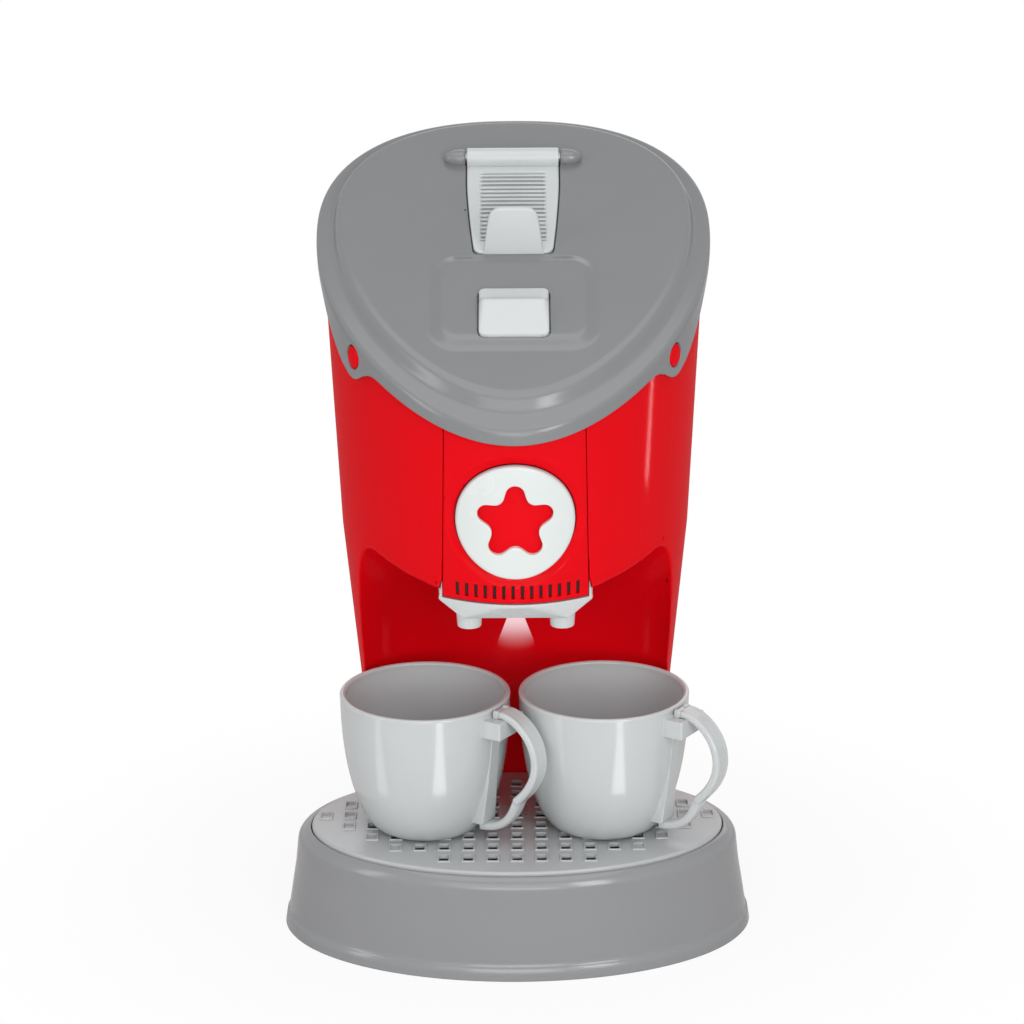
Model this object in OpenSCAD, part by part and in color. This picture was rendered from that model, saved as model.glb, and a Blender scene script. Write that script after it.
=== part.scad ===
// Toy pod coffee machine with two toy cups. All lengths are in millimetres, +Z is up, the front faces -Y.
// The origin lies on the ground under the middle of the machine's footprint.

/* [Base] */
// Width of the base at the ground
base_w = 170; // [164:1:180]
// Depth of the front oval of the base at the ground
base_d = 112; // [108:1:118]
// Height of the base
base_h = 37.5; // [36:0.5:42]
// How much the base wall leans in for each millimetre of height
base_lean = 0.16; // [0.1:0.01:0.2]
// Radius of the rounded shoulder of the base
base_round = 5; // [3:0.5:7]
// Wall of the base
base_wall = 2.2; // [1.6:0.1:3]
// Thickness of the bottom plate, and of the battery door in it
plate_t = 2.2; // [1.6:0.1:3]
// Height of the bottom plate above the ground
plate_z = 1; // [0.6:0.1:2]

/* [Drip tray] */
// Width of the drip tray
tray_w = 149; // [146:0.5:150]
// Depth of the drip tray
tray_d = 94; // [92:0.5:95]
// Thickness of the drip tray
tray_t = 3.6; // [3:0.1:5]
// How far the tray stands proud of the base
tray_proud = 1; // [0.4:0.1:2]
// Distance of the first and the last row of cells from the tray's edge
cell_margin = 9.15; // [8:0.05:12]
// Width of a drain hole
hole_w = 3.2; // [2:0.1:3.4]
// Depth of a drain hole from front to back
hole_d = 3.4; // [2:0.1:4.4]
// Width of the raised frame around a drain hole
frame_w = 4.9; // [4.6:0.1:6]
// Depth of the raised frame around a drain hole
frame_d = 6.4; // [6:0.1:7.5]
// Height of the raised frame around a drain hole
frame_rise = 0.5; // [0.3:0.1:1]

/* [Body] */
// Distance from the middle of the oval back to the widest part of the body
body_back_off = 43; // [41:0.5:46]
// Width of the body at its foot
foot_w = 106; // [102:1:108]
// Width of the body at its shoulder line
shoulder_w = 126.2; // [122:1:128]
// Width that the sides of the head lean out to at the height head_z
head_w = 141; // [140:1:146]
// Height of the shoulder line, where the sides change their slope
shoulder_z = 141; // [138:1:146]
// Height at which the width of the head is given
head_z = 290; // [280:1:300]
// Reach of the body forward from its widest part, at the foot
foot_front = 72; // [70:1:74]
// Reach of the body forward from its widest part, at the shoulder line
shoulder_front = 77.5; // [75:0.5:80]
// Reach of the body forward from its widest part, at the height head_z
head_front = 83.2; // [81:0.5:86]
// Reach of the body back from its widest part, at the foot
foot_rear = 44; // [42:0.5:46]
// Reach of the body back from its widest part, at the shoulder line
shoulder_rear = 47; // [45:0.5:49]
// Reach of the body back from its widest part, at the height head_z
head_rear = 50; // [48:0.5:52]
// Wall of the body
body_wall = 2.2; // [1.8:0.1:2.6]
// Lowest height of the head above the cup bay
chin_z = 133.2; // [131:0.5:136]
// How much higher the lower edge of the head lies at its sides
chin_rise = 13; // [10:0.5:15]
// Width of the cup bay at the height of the cups
bay_w = 120; // [117:1:123]

/* [Top cover] */
// Lean of the top cover from level, in degrees
lid_lean = 31.05; // [29:0.5:33]
// Height of the lower edge of the top cover at the front
lid_z = 192; // [190:0.5:196]
// How far the rim of the top cover stands out from the body
lid_over = 2.2; // [1.8:0.1:3]
// Height of the rim of the top cover
lid_rim = 5.6; // [5:0.1:6.5]
// Height of the raised plate above the lower edge of the rim
lid_h = 11.2; // [10.5:0.1:12.5]
// Wall of the top cover
lid_wall = 2; // [1.6:0.1:2.4]
// Radius of the two pegs that hold the ears
peg_r = 4.2; // [3.5:0.1:4.6]

/* [Pod hatch] */
// Width of the pod hatch at its hinge
hatch_w = 33.2; // [31:0.2:35]
// Width of the pod hatch at its free end
hatch_end_w = 27.8; // [26:0.2:30]
// Distance up the lid from its front edge to the free end of the hatch
hatch_v0 = 83.5; // [82.5:0.5:86]
// Distance up the lid from its front edge to the hinge of the hatch
hinge_v = 131; // [129:0.5:134]
// Radius of the hinge barrel
barrel_r = 3.6; // [3.2:0.1:4]
// Radius of the hinge pin
pin_r = 1.5; // [1.2:0.1:1.8]
// Radius of the pod opening under the hatch
pod_r = 14; // [12:0.5:14.5]
// Depth of the pod holder
pod_depth = 30; // [24:1:36]

/* [Buttons] */
// Width of the power button
power_w = 24.4; // [22:0.2:26]
// Length of the power button along the lid
power_l = 22; // [20:0.5:23]
// Radius of the star button
star_button_r = 20.7; // [19.5:0.1:21.5]
// Height of the middle of the star button
star_z = 163.6; // [162:0.5:166]
// Radius of the star cut-out at its points
star_r = 13.4; // [12.6:0.1:14.4]
// Radius of the star cut-out at its inner corners
star_in_r = 8.4; // [7.8:0.1:8.8]
// Rounding of the star's points
star_tip = 3.2; // [2.6:0.1:3.4]
// Rounding of the star's inner corners
star_fillet = 3.5; // [2:0.1:3.6]
// Depth of the star cut-out
star_depth = 2.2; // [1.6:0.1:2.6]
// How far the star button stands proud of the panel
star_proud = 1.6; // [1:0.1:2.2]
// Travel of the two buttons
press = 2.5; // [1.5:0.5:3]

/* [Front panel and spout] */
// Width of the front panel
panel_w = 51; // [49:0.5:53]
// Width of a vent slot
vent_w = 1.1; // [0.8:0.1:1.4]
// Distance between vent slots
vent_pitch = 3.15; // [2.8:0.05:3.3]
// Distance between the two coffee nozzles
nozzle_pitch = 32.6; // [28:0.2:34]
// Radius of a nozzle at its mouth
nozzle_r = 4.2; // [3.6:0.1:4.8]
// Height of the nozzle mouths above the ground
nozzle_z = 121.4; // [118:0.5:122]
// Height of the flat underside of the spout
spout_z = 126.4; // [124:0.2:127]

/* [Cups] */
// Radius of a cup at its rim
cup_r = 30.5; // [29:0.25:31.5]
// Radius of a cup at its foot
cup_foot_r = 17.3; // [13:0.5:18]
// Height of a cup
cup_h = 51; // [47:0.5:54]
// Wall of a cup
cup_wall = 1.8; // [1.4:0.1:2.4]
// Distance of the left cup from the middle plane
left_cup_x = 32.7; // [32:0.1:34]
// Distance of the right cup from the middle plane
right_cup_x = 31.4; // [31.2:0.1:33]
// Reach of a handle from the middle of its cup
handle_reach = 49.8; // [47:0.5:52]
// Width of a handle strap
handle_w = 7.6; // [7:0.2:9]
// Thickness of a handle strap
handle_t = 3; // [2.4:0.1:3.6]
// Turn of the handles towards the front, in degrees
handle_turn = 33; // [30:1:38]
// Width of the narrow tail of a handle
tail_w = 5.4; // [4:0.2:6]

/* [Fits] */
// Gap between pieces that move past each other
gap = 0.4; // [0.3:0.05:0.6]
// Gap between fixed pieces that meet at a seam
seam = 0.2; // [0.1:0.05:0.3]
// Radial clearance of the hinge pin in the barrel
pin_fit = 0.05; // [0.02:0.01:0.08]

/* [Hidden] */
$fn = 64;

grey = [0.55, 0.56, 0.57];
light_grey = [0.80, 0.82, 0.82];
red = [0.86, 0.05, 0.07];
steel = [0.75, 0.75, 0.77];
brass = [0.80, 0.66, 0.30];
green = [0.10, 0.42, 0.22];
clear = [0.95, 0.97, 1.00, 0.5];
black = [0.12, 0.12, 0.12];

// Points around an outline of the body and of the base, a multiple of four
ring_n = 64;
// Points around an outline of the top cover, whose ears need more
lid_n = 144;
eps = 0.01;

// The base: an oval in front and a rounded lobe behind it that carries the body.
lobe_w = foot_w + 2 + 2 * (base_lean * base_h + base_round);
lobe_rear = foot_rear + 1 + base_lean * base_h + base_round;
// The origin is under the middle of the footprint, so the oval lies in front of it.
oval_y = -(body_back_off + lobe_rear - base_d / 2) / 2;
body_y = oval_y + body_back_off;
basin_z = base_h - 14;

// The tray lies a little in front of the middle of the oval, and the cups stand on its middle line.
tray_y = oval_y - 1;
tray_z = base_h + tray_proud;
tray_floor = tray_z - tray_t;
// Cells on each side of the middle one, row by row from the front, and those of them that have a hole.
// The longest row fills the width of the tray.
cell_rows = [3, 5, 6, 7, 8, 7, 6, 4];
hole_rows = [3, 4, 5, 6, 6, 6, 5, 3];
cell_pitch_x = (tray_w / 2 - frame_w) / max(cell_rows);
cell_pitch_y = (tray_d - frame_d - 2 * cell_margin) / (len(cell_rows) - 1);
cup_y = tray_y - 2.6;
cup_z = tray_z + frame_rise + 0.2;

// The body: an outline whose sizes change evenly with height, with one break at the shoulder line.
foot_z = base_h;
egg_in = 0.15;
rear_power = 2.35;
function blend(v0, v1, k) = v0 + (v1 - v0) * k;
function by_height(foot, shoulder, head, z) =
    z < shoulder_z
        ? blend(foot, shoulder, (z - foot_z) / (shoulder_z - foot_z))
        : blend(shoulder, head, (z - shoulder_z) / (head_z - shoulder_z));
function side_at(z) = by_height(foot_w, shoulder_w, head_w, z) / 2;
function front_at(z) = by_height(foot_front, shoulder_front, head_front, z);
function rear_at(z) = by_height(foot_rear, shoulder_rear, head_rear, z);
function signed_pow(v, p) = sign(v) * pow(abs(v), p);
// A point of an outline at the angle t, 0 at the right and -90 at the front
function egg(t, a, front, rear, mid) =
    sin(t) >= 0
        ? [a * signed_pow(cos(t), 2 / rear_power), mid + rear * pow(sin(t), 2 / rear_power)]
        : [a * cos(t) * (1 - egg_in * pow(sin(t), 2)), mid + front * sin(t)];
// A point of the body's outline at the height z, grown outwards by g
function body_xy(t, z, g = 0) = egg(t, side_at(z) + g, front_at(z) + g, rear_at(z) + g, body_y);
function body_xyz(t, z, g = 0) = concat(body_xy(t, z, g), [z]);
function body_ring(z, g = 0, n = ring_n) = [for (i = [0:n - 1]) body_xyz(360 * i / n, z, g)];
// Depth of the body's front edge in the middle plane
function front_y(z) = body_y - front_at(z);

// The leaning plane of the top cover's lower edge, through its front edge
lid_y = body_y - front_at(lid_z) - lid_over;
function lid_plane(y) = lid_z + tan(lid_lean) * (y - lid_y);
// A point of the body's outline on that plane, raised by off
function lean_z(t, g, off, z, steps) =
    steps == 0 ? z : lean_z(t, g, off, lid_plane(body_xy(t, z, g)[1]) + off, steps - 1);
function lean_xyz(t, g, off) = body_xyz(t, lean_z(t, g, off, lid_z + 40, 6), g);
function lean_ring(g, off, n) = [for (i = [0:n - 1]) lean_xyz(360 * i / n, g, off)];

// The ears hang from the rim around the pegs, which stand at this angle of the outline.
peg_t = -31.3;
peg_off = -3;
ear_r = 8;
ear_slope = 0.53;
peg_at = lean_xyz(peg_t, 0, peg_off);
// Distance around the outline from the peg, positive towards the back
function ear_dist(t) =
    let (f = t > 180 ? t - 360 : t, m = f < -90 ? -180 - f : f)
    norm(body_xy(m, peg_at[2]) - body_xy(peg_t, peg_at[2])) * sign(m - peg_t);
// Drop of the rim's lower edge: a round lobe with a long run-out behind it and a short one in front
function lobe(s) = sqrt(ear_r * ear_r - s * s) - peg_off + ear_slope * s;
ear_back = 5;
ear_front = -6;
function run_out(k) = max(0, 1 - k);
function ear_drop(s) =
    s > ear_back
        ? lobe(ear_back) * run_out((s - ear_back) / 23) * (1 + 0.4 * min(1, (s - ear_back) / 23))
        : s < ear_front
            ? lobe(ear_front) * pow(run_out((ear_front - s) / 7), 2.2)
            : lobe(s);
function ear_at(t) = t > 45 && t < 135 ? 0 : ear_drop(ear_dist(t));
function rim_ring(g, off, n) =
    [for (i = [0:n - 1]) lean_xyz(360 * i / n, g, off - ear_at(360 * i / n))];

// A closed solid through rings of points. Each ring mirrors onto itself, point i onto point (m - i), and its
// flat or bent end is closed by strips between mirrored points, from index first to m / 2.
function at(i, n) = (i + 2 * n) % n;
module loft(rings, m, first) {
    n = len(rings[0]);
    k = len(rings);
    walls = [
        for (j = [0:k - 2], i = [0:n - 1]) each [
            [j * n + i, (j + 1) * n + i, (j + 1) * n + at(i + 1, n)],
            [j * n + i, (j + 1) * n + at(i + 1, n), j * n + at(i + 1, n)]
        ]
    ];
    strips = [
        for (i = [first:m / 2 - 1])
            let (a = at(i, n), b = at(i + 1, n), c = at(m - i - 1, n), d = at(m - i, n))
            each concat(b == c ? [] : [[a, b, c]], a == d ? [] : [b == c ? [a, b, d] : [a, c, d]])
    ];
    low = [for (f = strips) f];
    high = [for (f = strips) [for (p = [2:-1:0]) f[p] + (k - 1) * n]];
    polyhedron(points = [for (r = rings) each r], faces = concat(low, walls, high), convexity = 6);
}
module ring_loft(rings) loft(rings, len(rings[0]) / 2, -len(rings[0]) / 4);

// The cup bay: an upright hollow whose back follows the tray. Its domed top meets the underside of the head,
// and its foot is wide enough for the tray to lift out.
bay_wide_z = foot_z + 27;
bay_dome_z = 92;
bay_depth = tray_d / 2 + 1.2;
bay_foot_a = tray_w / 2 + 1.5;
bay_steps = 6;
bay_n = 40;
function chin_lift(x) = chin_rise * pow(x / 62, 2);
function bay_ring(z, a, depth, power, g, lift) =
    let (xs = [for (i = [0:bay_n]) (a + g) * signed_pow(cos(180 * i / bay_n), 2 / power)])
    concat(
        [for (i = [0:bay_n])
            let (y = tray_y + (depth + g) * pow(sin(180 * i / bay_n), 2 / power))
            [xs[i], y, z + lift * chin_lift(xs[i])]],
        [for (i = [bay_n:-1:0])
            [xs[i], tray_y - base_d, z + lift * chin_lift(xs[i])]]
    );
// The hollow of the bay, grown by g
module bay(g) {
    dome = [
        for (i = [0:bay_steps])
            let (a = 87 * i / bay_steps)
            bay_ring(blend(bay_dome_z, chin_z, sin(a)) + g * sin(a), bay_w / 2 + 2 * i / bay_steps,
                bay_depth * cos(a), 2.4, g, pow(sin(a), 3))
    ];
    loft(
        concat(
            [bay_ring(foot_z - 8, bay_foot_a, bay_depth, 2, g, 0)],
            [bay_ring(bay_wide_z, bay_foot_a, bay_depth, 2, g, 0)],
            dome
        ),
        2 * bay_n + 1, 0
    );
}

module body_solid(g, low, top_off) {
    ring_loft([body_ring(low, g), body_ring(shoulder_z, g), lean_ring(g, top_off, ring_n)]);
}

// Frame of the top cover: x across, v up the slope from the front edge, h out of the lid
module on_lid(x = 0, v = 0, h = 0) {
    translate([0, lid_y, lid_z])
        rotate([lid_lean, 0, 0])
            translate([x, v, h])
                children();
}
function lid_point(v, h) = [
    lid_y + v * cos(lid_lean) - h * sin(lid_lean),
    lid_z + v * sin(lid_lean) + h * cos(lid_lean)
];
plate_h = lid_h * cos(lid_lean);

module rounded_box(size, r) {
    linear_extrude(size[2])
        rounded_rect(size[0], size[1], r);
}
module rounded_rect(w, d, r) {
    union() {
        square([w - 2 * r, d], center = true);
        square([w, d - 2 * r], center = true);
        for (x = [-1, 1], y = [-1, 1])
            translate([x * (w / 2 - r), y * (d / 2 - r)])
                circle(r = r, $fn = 32);
    }
}
// A flat oval plate in the middle of the tray
module oval_plate(w, d, z, h) {
    translate([0, tray_y, z])
        linear_extrude(h)
            polygon([for (i = [0:ring_n - 1]) let (t = 360 * i / ring_n) [w / 2 * cos(t), d / 2 * sin(t)]]);
}
// A coil spring swept round the Z axis
module coil(r, wire, h, turns) {
    per = 14;
    sides = 6;
    steps = per * turns;
    ring = function(i) [
        for (s = [0:sides - 1])
            let (a = 360 * i / per, c = 360 * s / sides, d = r + wire * cos(c))
            [d * cos(a), d * sin(a), blend(wire, h - wire, i / steps) + wire * sin(c)]
    ];
    walls = [
        for (i = [0:steps - 1], s = [0:sides - 1])
            let (n = (s + 1) % sides)
            each [
                [i * sides + s, i * sides + n, (i + 1) * sides + n],
                [i * sides + s, (i + 1) * sides + n, (i + 1) * sides + s]
            ]
    ];
    polyhedron(
        points = [for (i = [0:steps]) each ring(i)],
        faces = concat(
            [[for (s = [sides - 1:-1:0]) s]], walls, [[for (s = [0:sides - 1]) steps * sides + s]]
        )
    );
}
// A pan-head screw: the underside of the head is at the origin and the shank points along -Z
module screw(r, head_r, shank, head_t = 1.6) {
    difference() {
        cylinder(r = head_r, h = head_t, $fn = 32);
        translate([0, 0, head_t * 0.45]) {
            translate([-head_r * 0.6, -0.4, 0])
                cube([head_r * 1.2, 0.8, 2]);
            translate([-0.4, -head_r * 0.6, 0])
                cube([0.8, head_r * 1.2, 2]);
        }
    }
    translate([0, 0, -shank])
        cylinder(r = r, h = shank + eps, $fn = 32);
}

// ---------------------------------------------------------------- base
function base_inset(z) =
    base_lean * z + (z > base_h - base_round
        ? base_round * (1 - sqrt(max(0, 1 - pow((z - base_h + base_round) / base_round, 2))))
        : 0);
base_levels = [
    0, base_h * 0.5, base_h - base_round, base_h - base_round * 0.6, base_h - base_round * 0.3,
    base_h - base_round * 0.1, base_h
];
function oval_ring(z, inset) = [
    for (i = [0:ring_n - 1])
        let (t = 360 * i / ring_n)
        [(base_w / 2 - inset) * cos(t), oval_y + (base_d / 2 - 0.8 * inset) * sin(t), z]
];
function lobe_ring(z, inset) = [
    for (i = [0:ring_n - 1])
        concat(egg(360 * i / ring_n, lobe_w / 2 - inset, 60 - inset, lobe_rear - inset, body_y), [z])
];
module base_form(g, low, high) {
    levels = [for (z = base_levels) if (z > low && z < high) z];
    steps = concat([low], levels, [high]);
    ring_loft([for (z = steps) oval_ring(z, base_inset(max(0, z)) + g)]);
    ring_loft([for (z = steps) lobe_ring(z, base_inset(max(0, z)) + g)]);
}
// Places of the four bottom screws
base_screw_at = [[-58, oval_y - 18], [58, oval_y - 18], [-40, body_y + 2], [40, body_y + 2]];
// The battery compartment under the lobe
cell_r = 7.1;
cell_l = 50;
battery_w = cell_l + 8;
battery_d = 4 * cell_r + 2.4;
battery_y = body_y + 14;
battery_z = plate_z + plate_t;
battery_h = 2 * cell_r + 1;
box_wall = 1.6;
screw_r = 1.25;
seat_z = tray_floor - 0.2;
basin_w = tray_w - 12;
basin_d = tray_d - 12;
cable_hole_y = body_y + 22;
module base_shell() {
    color(grey)
        difference() {
            base_form(0, 0, base_h);
            difference() {
                base_form(base_wall, -1, base_h - base_wall);
                // walls of the tray's seat and of the basin under it
                oval_plate(tray_w + 2 * base_wall, tray_d + 2 * base_wall, seat_z - base_wall, base_h);
                oval_plate(basin_w + 2 * base_wall, basin_d + 2 * base_wall, basin_z - base_wall, base_h);
                for (p = base_screw_at)
                    translate([p[0], p[1], battery_z + seam])
                        cylinder(r = 3.6, h = base_h, $fn = 32);
            }
            oval_plate(basin_w, basin_d, basin_z, base_h);
            oval_plate(tray_w + 2 * gap, tray_d + 2 * gap, seat_z, base_h);
            for (p = base_screw_at)
                translate([p[0], p[1], -1])
                    cylinder(r = screw_r + 0.05, h = 16, $fn = 32);
            // way for the leads, and the screws of the body
            translate([0, cable_hole_y, base_h - 6])
                cylinder(r = 8, h = 10, $fn = 48);
            for (x = [-1, 1])
                translate([x * 32, cable_hole_y, base_h - 6])
                    cylinder(r = 1.7, h = 10, $fn = 32);
        }
}
module bottom_outline(inset) {
    polygon([for (p = oval_ring(0, inset)) [p[0], p[1]]]);
    polygon([for (p = lobe_ring(0, inset)) [p[0], p[1]]]);
}
door_w = battery_w + 6;
door_d = battery_d + 12;
door_y = battery_y - 2;
door_t = plate_t * 0.6 - seam;
door_screw_y = battery_y - battery_d / 2 - 5.4;
module bottom_plate() {
    color(grey)
        difference() {
            union() {
                translate([0, 0, plate_z])
                    linear_extrude(plate_t)
                        bottom_outline(base_wall + base_lean * plate_z + 0.4);
                // walls of the battery compartment
                translate([-battery_w / 2 - box_wall, battery_y - battery_d / 2 - box_wall, battery_z - eps])
                    cube([battery_w + 2 * box_wall, battery_d + 2 * box_wall, battery_h + box_wall]);
                // the screw boss of the door
                translate([0, door_screw_y, battery_z - eps])
                    cylinder(r = 3.4, h = 8, $fn = 32);
            }
            translate([-battery_w / 2, battery_y - battery_d / 2, 0])
                cube([battery_w, battery_d, battery_z + battery_h]);
            // seat of the door
            translate([-door_w / 2 - seam, door_y - door_d / 2 - seam, 0])
                cube([door_w + 2 * seam, door_d + 2 * seam, plate_z + door_t + seam]);
            for (p = base_screw_at)
                translate([p[0], p[1], 0]) {
                    cylinder(r = 1.9, h = 10, $fn = 32);
                    cylinder(r = 3.4, h = plate_z + 1, $fn = 32);
                }
            translate([0, door_screw_y, 0])
                cylinder(r = screw_r - 0.1, h = 8, $fn = 32);
        }
}
module battery_door() {
    color(grey)
        difference() {
            translate([-door_w / 2, door_y - door_d / 2, plate_z])
                cube([door_w, door_d, door_t]);
            translate([0, door_screw_y, 0])
                cylinder(r = 1.6, h = 10, $fn = 32);
            // finger grip
            for (i = [-2:2])
                translate([-9, battery_y + i * 3 - 0.5, plate_z - 0.5])
                    cube([18, 1, 0.9]);
        }
}
module battery_door_screw() {
    color(steel)
        translate([0, door_screw_y, plate_z])
            rotate([180, 0, 0])
                screw(screw_r - 0.15, 2.6, 6, 0.8);
}
module base_screws() {
    color(steel)
        for (p = base_screw_at)
            translate([p[0], p[1], plate_z + 1])
                rotate([180, 0, 0])
                    screw(screw_r, 3, 10);
}
module battery_cells() {
    for (s = [-1, 1])
        translate([-s * cell_l / 2, battery_y + s * (cell_r + 0.3), battery_z + cell_r + 0.2])
            rotate([0, s * 90, 0]) {
                color(black)
                    cylinder(r = cell_r, h = cell_l - 1.6);
                color(brass)
                    cylinder(r = 2.6, h = cell_l, $fn = 32);
            }
}
module battery_contacts() {
    color(steel)
        for (x = [-1, 1])
            translate([x * (battery_w / 2 - 0.4) - 0.4, battery_y - battery_d / 2 + 1, battery_z + 2]) {
                cube([0.8, battery_d - 2, 11]);
                for (y = [cell_r - 0.6, 3 * cell_r])
                    translate([0.4, y, 5])
                        rotate([0, -x * 90, 0])
                            cylinder(r1 = 3, r2 = 1.6, h = battery_w / 2 - cell_l / 2 - 0.5, $fn = 32);
            }
}

// ---------------------------------------------------------------- drip tray
module cell_places(rows) {
    for (r = [0:len(rows) - 1], c = [-rows[r]:rows[r]])
        translate([c * cell_pitch_x, tray_y + (r - (len(rows) - 1) / 2) * cell_pitch_y, 0])
            children();
}
module drip_tray() {
    rim = 0.7;
    color(light_grey)
        difference() {
            union() {
                oval_plate(tray_w, tray_d, tray_floor, tray_t);
                // rim that drops into the basin
                difference() {
                    oval_plate(basin_w - 2 * gap, basin_d - 2 * gap, tray_floor - 3, 3 + eps);
                    oval_plate(basin_w - 2 * gap - 4, basin_d - 2 * gap - 4, tray_floor - 4, 4.1);
                }
                cell_places(cell_rows)
                    translate([-frame_w / 2, -frame_d / 2, tray_z - eps])
                        cube([frame_w, frame_d, frame_rise + eps]);
            }
            cell_places(cell_rows)
                translate([rim - frame_w / 2, rim - frame_d / 2, tray_z - 0.3])
                    cube([frame_w - 2 * rim, frame_d - 2 * rim, 2]);
            cell_places(hole_rows)
                translate([-hole_w / 2, -hole_d / 2, tray_floor - 1])
                    cube([hole_w, hole_d, tray_t + 2]);
        }
}

// ---------------------------------------------------------------- body
// The body is parted by an upright plane just behind the cup bay.
split_y = tray_y + bay_depth + body_wall + 1.6;
module body_shell() {
    difference() {
        body_solid(0, foot_z, 2);
        bay(0);
        difference() {
            body_solid(-body_wall, foot_z - 1, 3);
            bay(body_wall);
        }
    }
}
panel_low = chin_z + 0.4;
// The wall of the head in front, between two offsets from its outer face
module head_wall(outer, inner) {
    difference() {
        ring_loft([body_ring(chin_z - 12, outer), body_ring(shoulder_z, outer), lean_ring(outer, 6, ring_n)]);
        ring_loft([body_ring(chin_z - 13, inner), body_ring(shoulder_z, inner), lean_ring(inner, 7, ring_n)]);
    }
}
// The space of the front panel, grown sideways by g
module panel_space(g, low) {
    translate([-panel_w / 2 - g, front_y(chin_z) - 20, low])
        cube([panel_w + 2 * g, 50, 100]);
}
// The two wings with which the spout grips the lower corners of the panel
wing_w = 1.2;
wing_x = panel_w / 2 + seam;
module wings(g) {
    for (s = [-1, 1])
        translate([0, front_y(chin_z) - 10, 0])
            rotate([-90, 0, 0])
                linear_extrude(30)
                    polygon([
                        [s * wing_x, -chin_z + 4], [s * wing_x, -chin_z - 6 - g],
                        [s * (wing_x + wing_w + g), -chin_z + 1], [s * (wing_x + wing_w + g), -chin_z + 4]
                    ]);
}
peg_turn = 63;
module at_peg(s) {
    translate([s * peg_at[0], peg_at[1], peg_at[2]])
        rotate([0, 0, s * peg_turn])
            rotate([90, 0, 0])
                children();
}
body_screw_z = [foot_z + 22, chin_z, shoulder_z + 66];
body_screw_x = [40, 46, 50];
module body_front() {
    color(red)
        union() {
            difference() {
                intersection() {
                    body_shell();
                    translate([-100, split_y - 200 - seam / 2, 0])
                        cube([200, 200, 400]);
                }
                panel_space(seam, chin_z - 3);
                wings(seam);
                // neck of the spout
                translate([-neck_w / 2 - seam, neck_y0 - seam, chin_z - 10])
                    cube([neck_w + 2 * seam, neck_d + 2 * seam, 30]);
            }
            for (s = [-1, 1])
                at_peg(s)
                    translate([0, 0, -body_wall * 0.8])
                        cylinder(r = peg_r, h = body_wall * 0.8 + lid_over + 0.1, $fn = 48);
            // screw posts, joined to the side walls by ribs
            difference() {
                intersection() {
                    for (i = [0:2], s = [-1, 1]) {
                        translate([s * body_screw_x[i], split_y - seam / 2, body_screw_z[i]])
                            rotate([90, 0, 0])
                                cylinder(r = 3.4, h = 9, $fn = 32);
                        translate([s * (body_screw_x[i] + 12) - 12, split_y - 8, body_screw_z[i] - 0.8])
                            cube([24, 8 - seam / 2, 1.6]);
                    }
                    body_solid(-body_wall / 2, foot_z, 0);
                }
                for (i = [0:2], s = [-1, 1])
                    translate([s * body_screw_x[i], split_y + 1, body_screw_z[i]])
                        rotate([90, 0, 0])
                            cylinder(r = screw_r + 0.05, h = 12, $fn = 32);
                bay(body_wall / 2);
            }
        }
}
module body_back() {
    color(red)
        difference() {
            union() {
                intersection() {
                    body_shell();
                    translate([-100, split_y + seam / 2, 0])
                        cube([200, 200, 400]);
                }
                // screw tubes up to the front half, and ribs from the foot posts to the rear face
                intersection() {
                    union() {
                        for (i = [0:2], s = [-1, 1])
                            translate([s * body_screw_x[i], split_y + seam / 2, body_screw_z[i]])
                                rotate([-90, 0, 0])
                                    cylinder(r = 3.6, h = 60, $fn = 32);
                        for (x = [-1, 1])
                            translate([x * 32 - 0.9, cable_hole_y, foot_z])
                                cube([1.8, 30, 12]);
                    }
                    body_solid(-body_wall / 2, foot_z, 0);
                }
                // foot posts screwed down to the base
                for (x = [-1, 1])
                    translate([x * 32, cable_hole_y, foot_z])
                        cylinder(r = 3.6, h = 14, $fn = 32);
            }
            for (i = [0:2], s = [-1, 1]) {
                translate([s * body_screw_x[i], split_y - 1, body_screw_z[i]])
                    rotate([-90, 0, 0])
                        cylinder(r = 1.6, h = 70, $fn = 32);
                translate([s * body_screw_x[i], split_y + 6, body_screw_z[i]])
                    rotate([-90, 0, 0])
                        cylinder(r = 2.9, h = 70, $fn = 32);
            }
            for (x = [-1, 1])
                translate([x * 32, cable_hole_y, foot_z - 1])
                    cylinder(r = screw_r + 0.05, h = 12, $fn = 32);
        }
}
module body_screws() {
    color(steel) {
        for (i = [0:2], s = [-1, 1])
            translate([s * body_screw_x[i], split_y + 6, body_screw_z[i]])
                rotate([-90, 0, 0])
                    screw(screw_r, 2.6, 12);
        for (x = [-1, 1])
            translate([x * 32, cable_hole_y, base_h - base_wall])
                rotate([180, 0, 0])
                    screw(screw_r, 2.8, 9);
    }
}

// ---------------------------------------------------------------- front panel and star button
panel_y = front_y(star_z);
well_y = panel_y + 8.6;
well_t = 1.6;
board_y = well_y + 7;
board_w = 44;
board_t = 1.6;
post_x = 16;
post_dz = 12;
vent_h = 4.2;
vent_z = panel_low + 1.6;
module along_y(y) {
    translate([0, y, star_z])
        rotate([-90, 0, 0])
            children();
}
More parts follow.
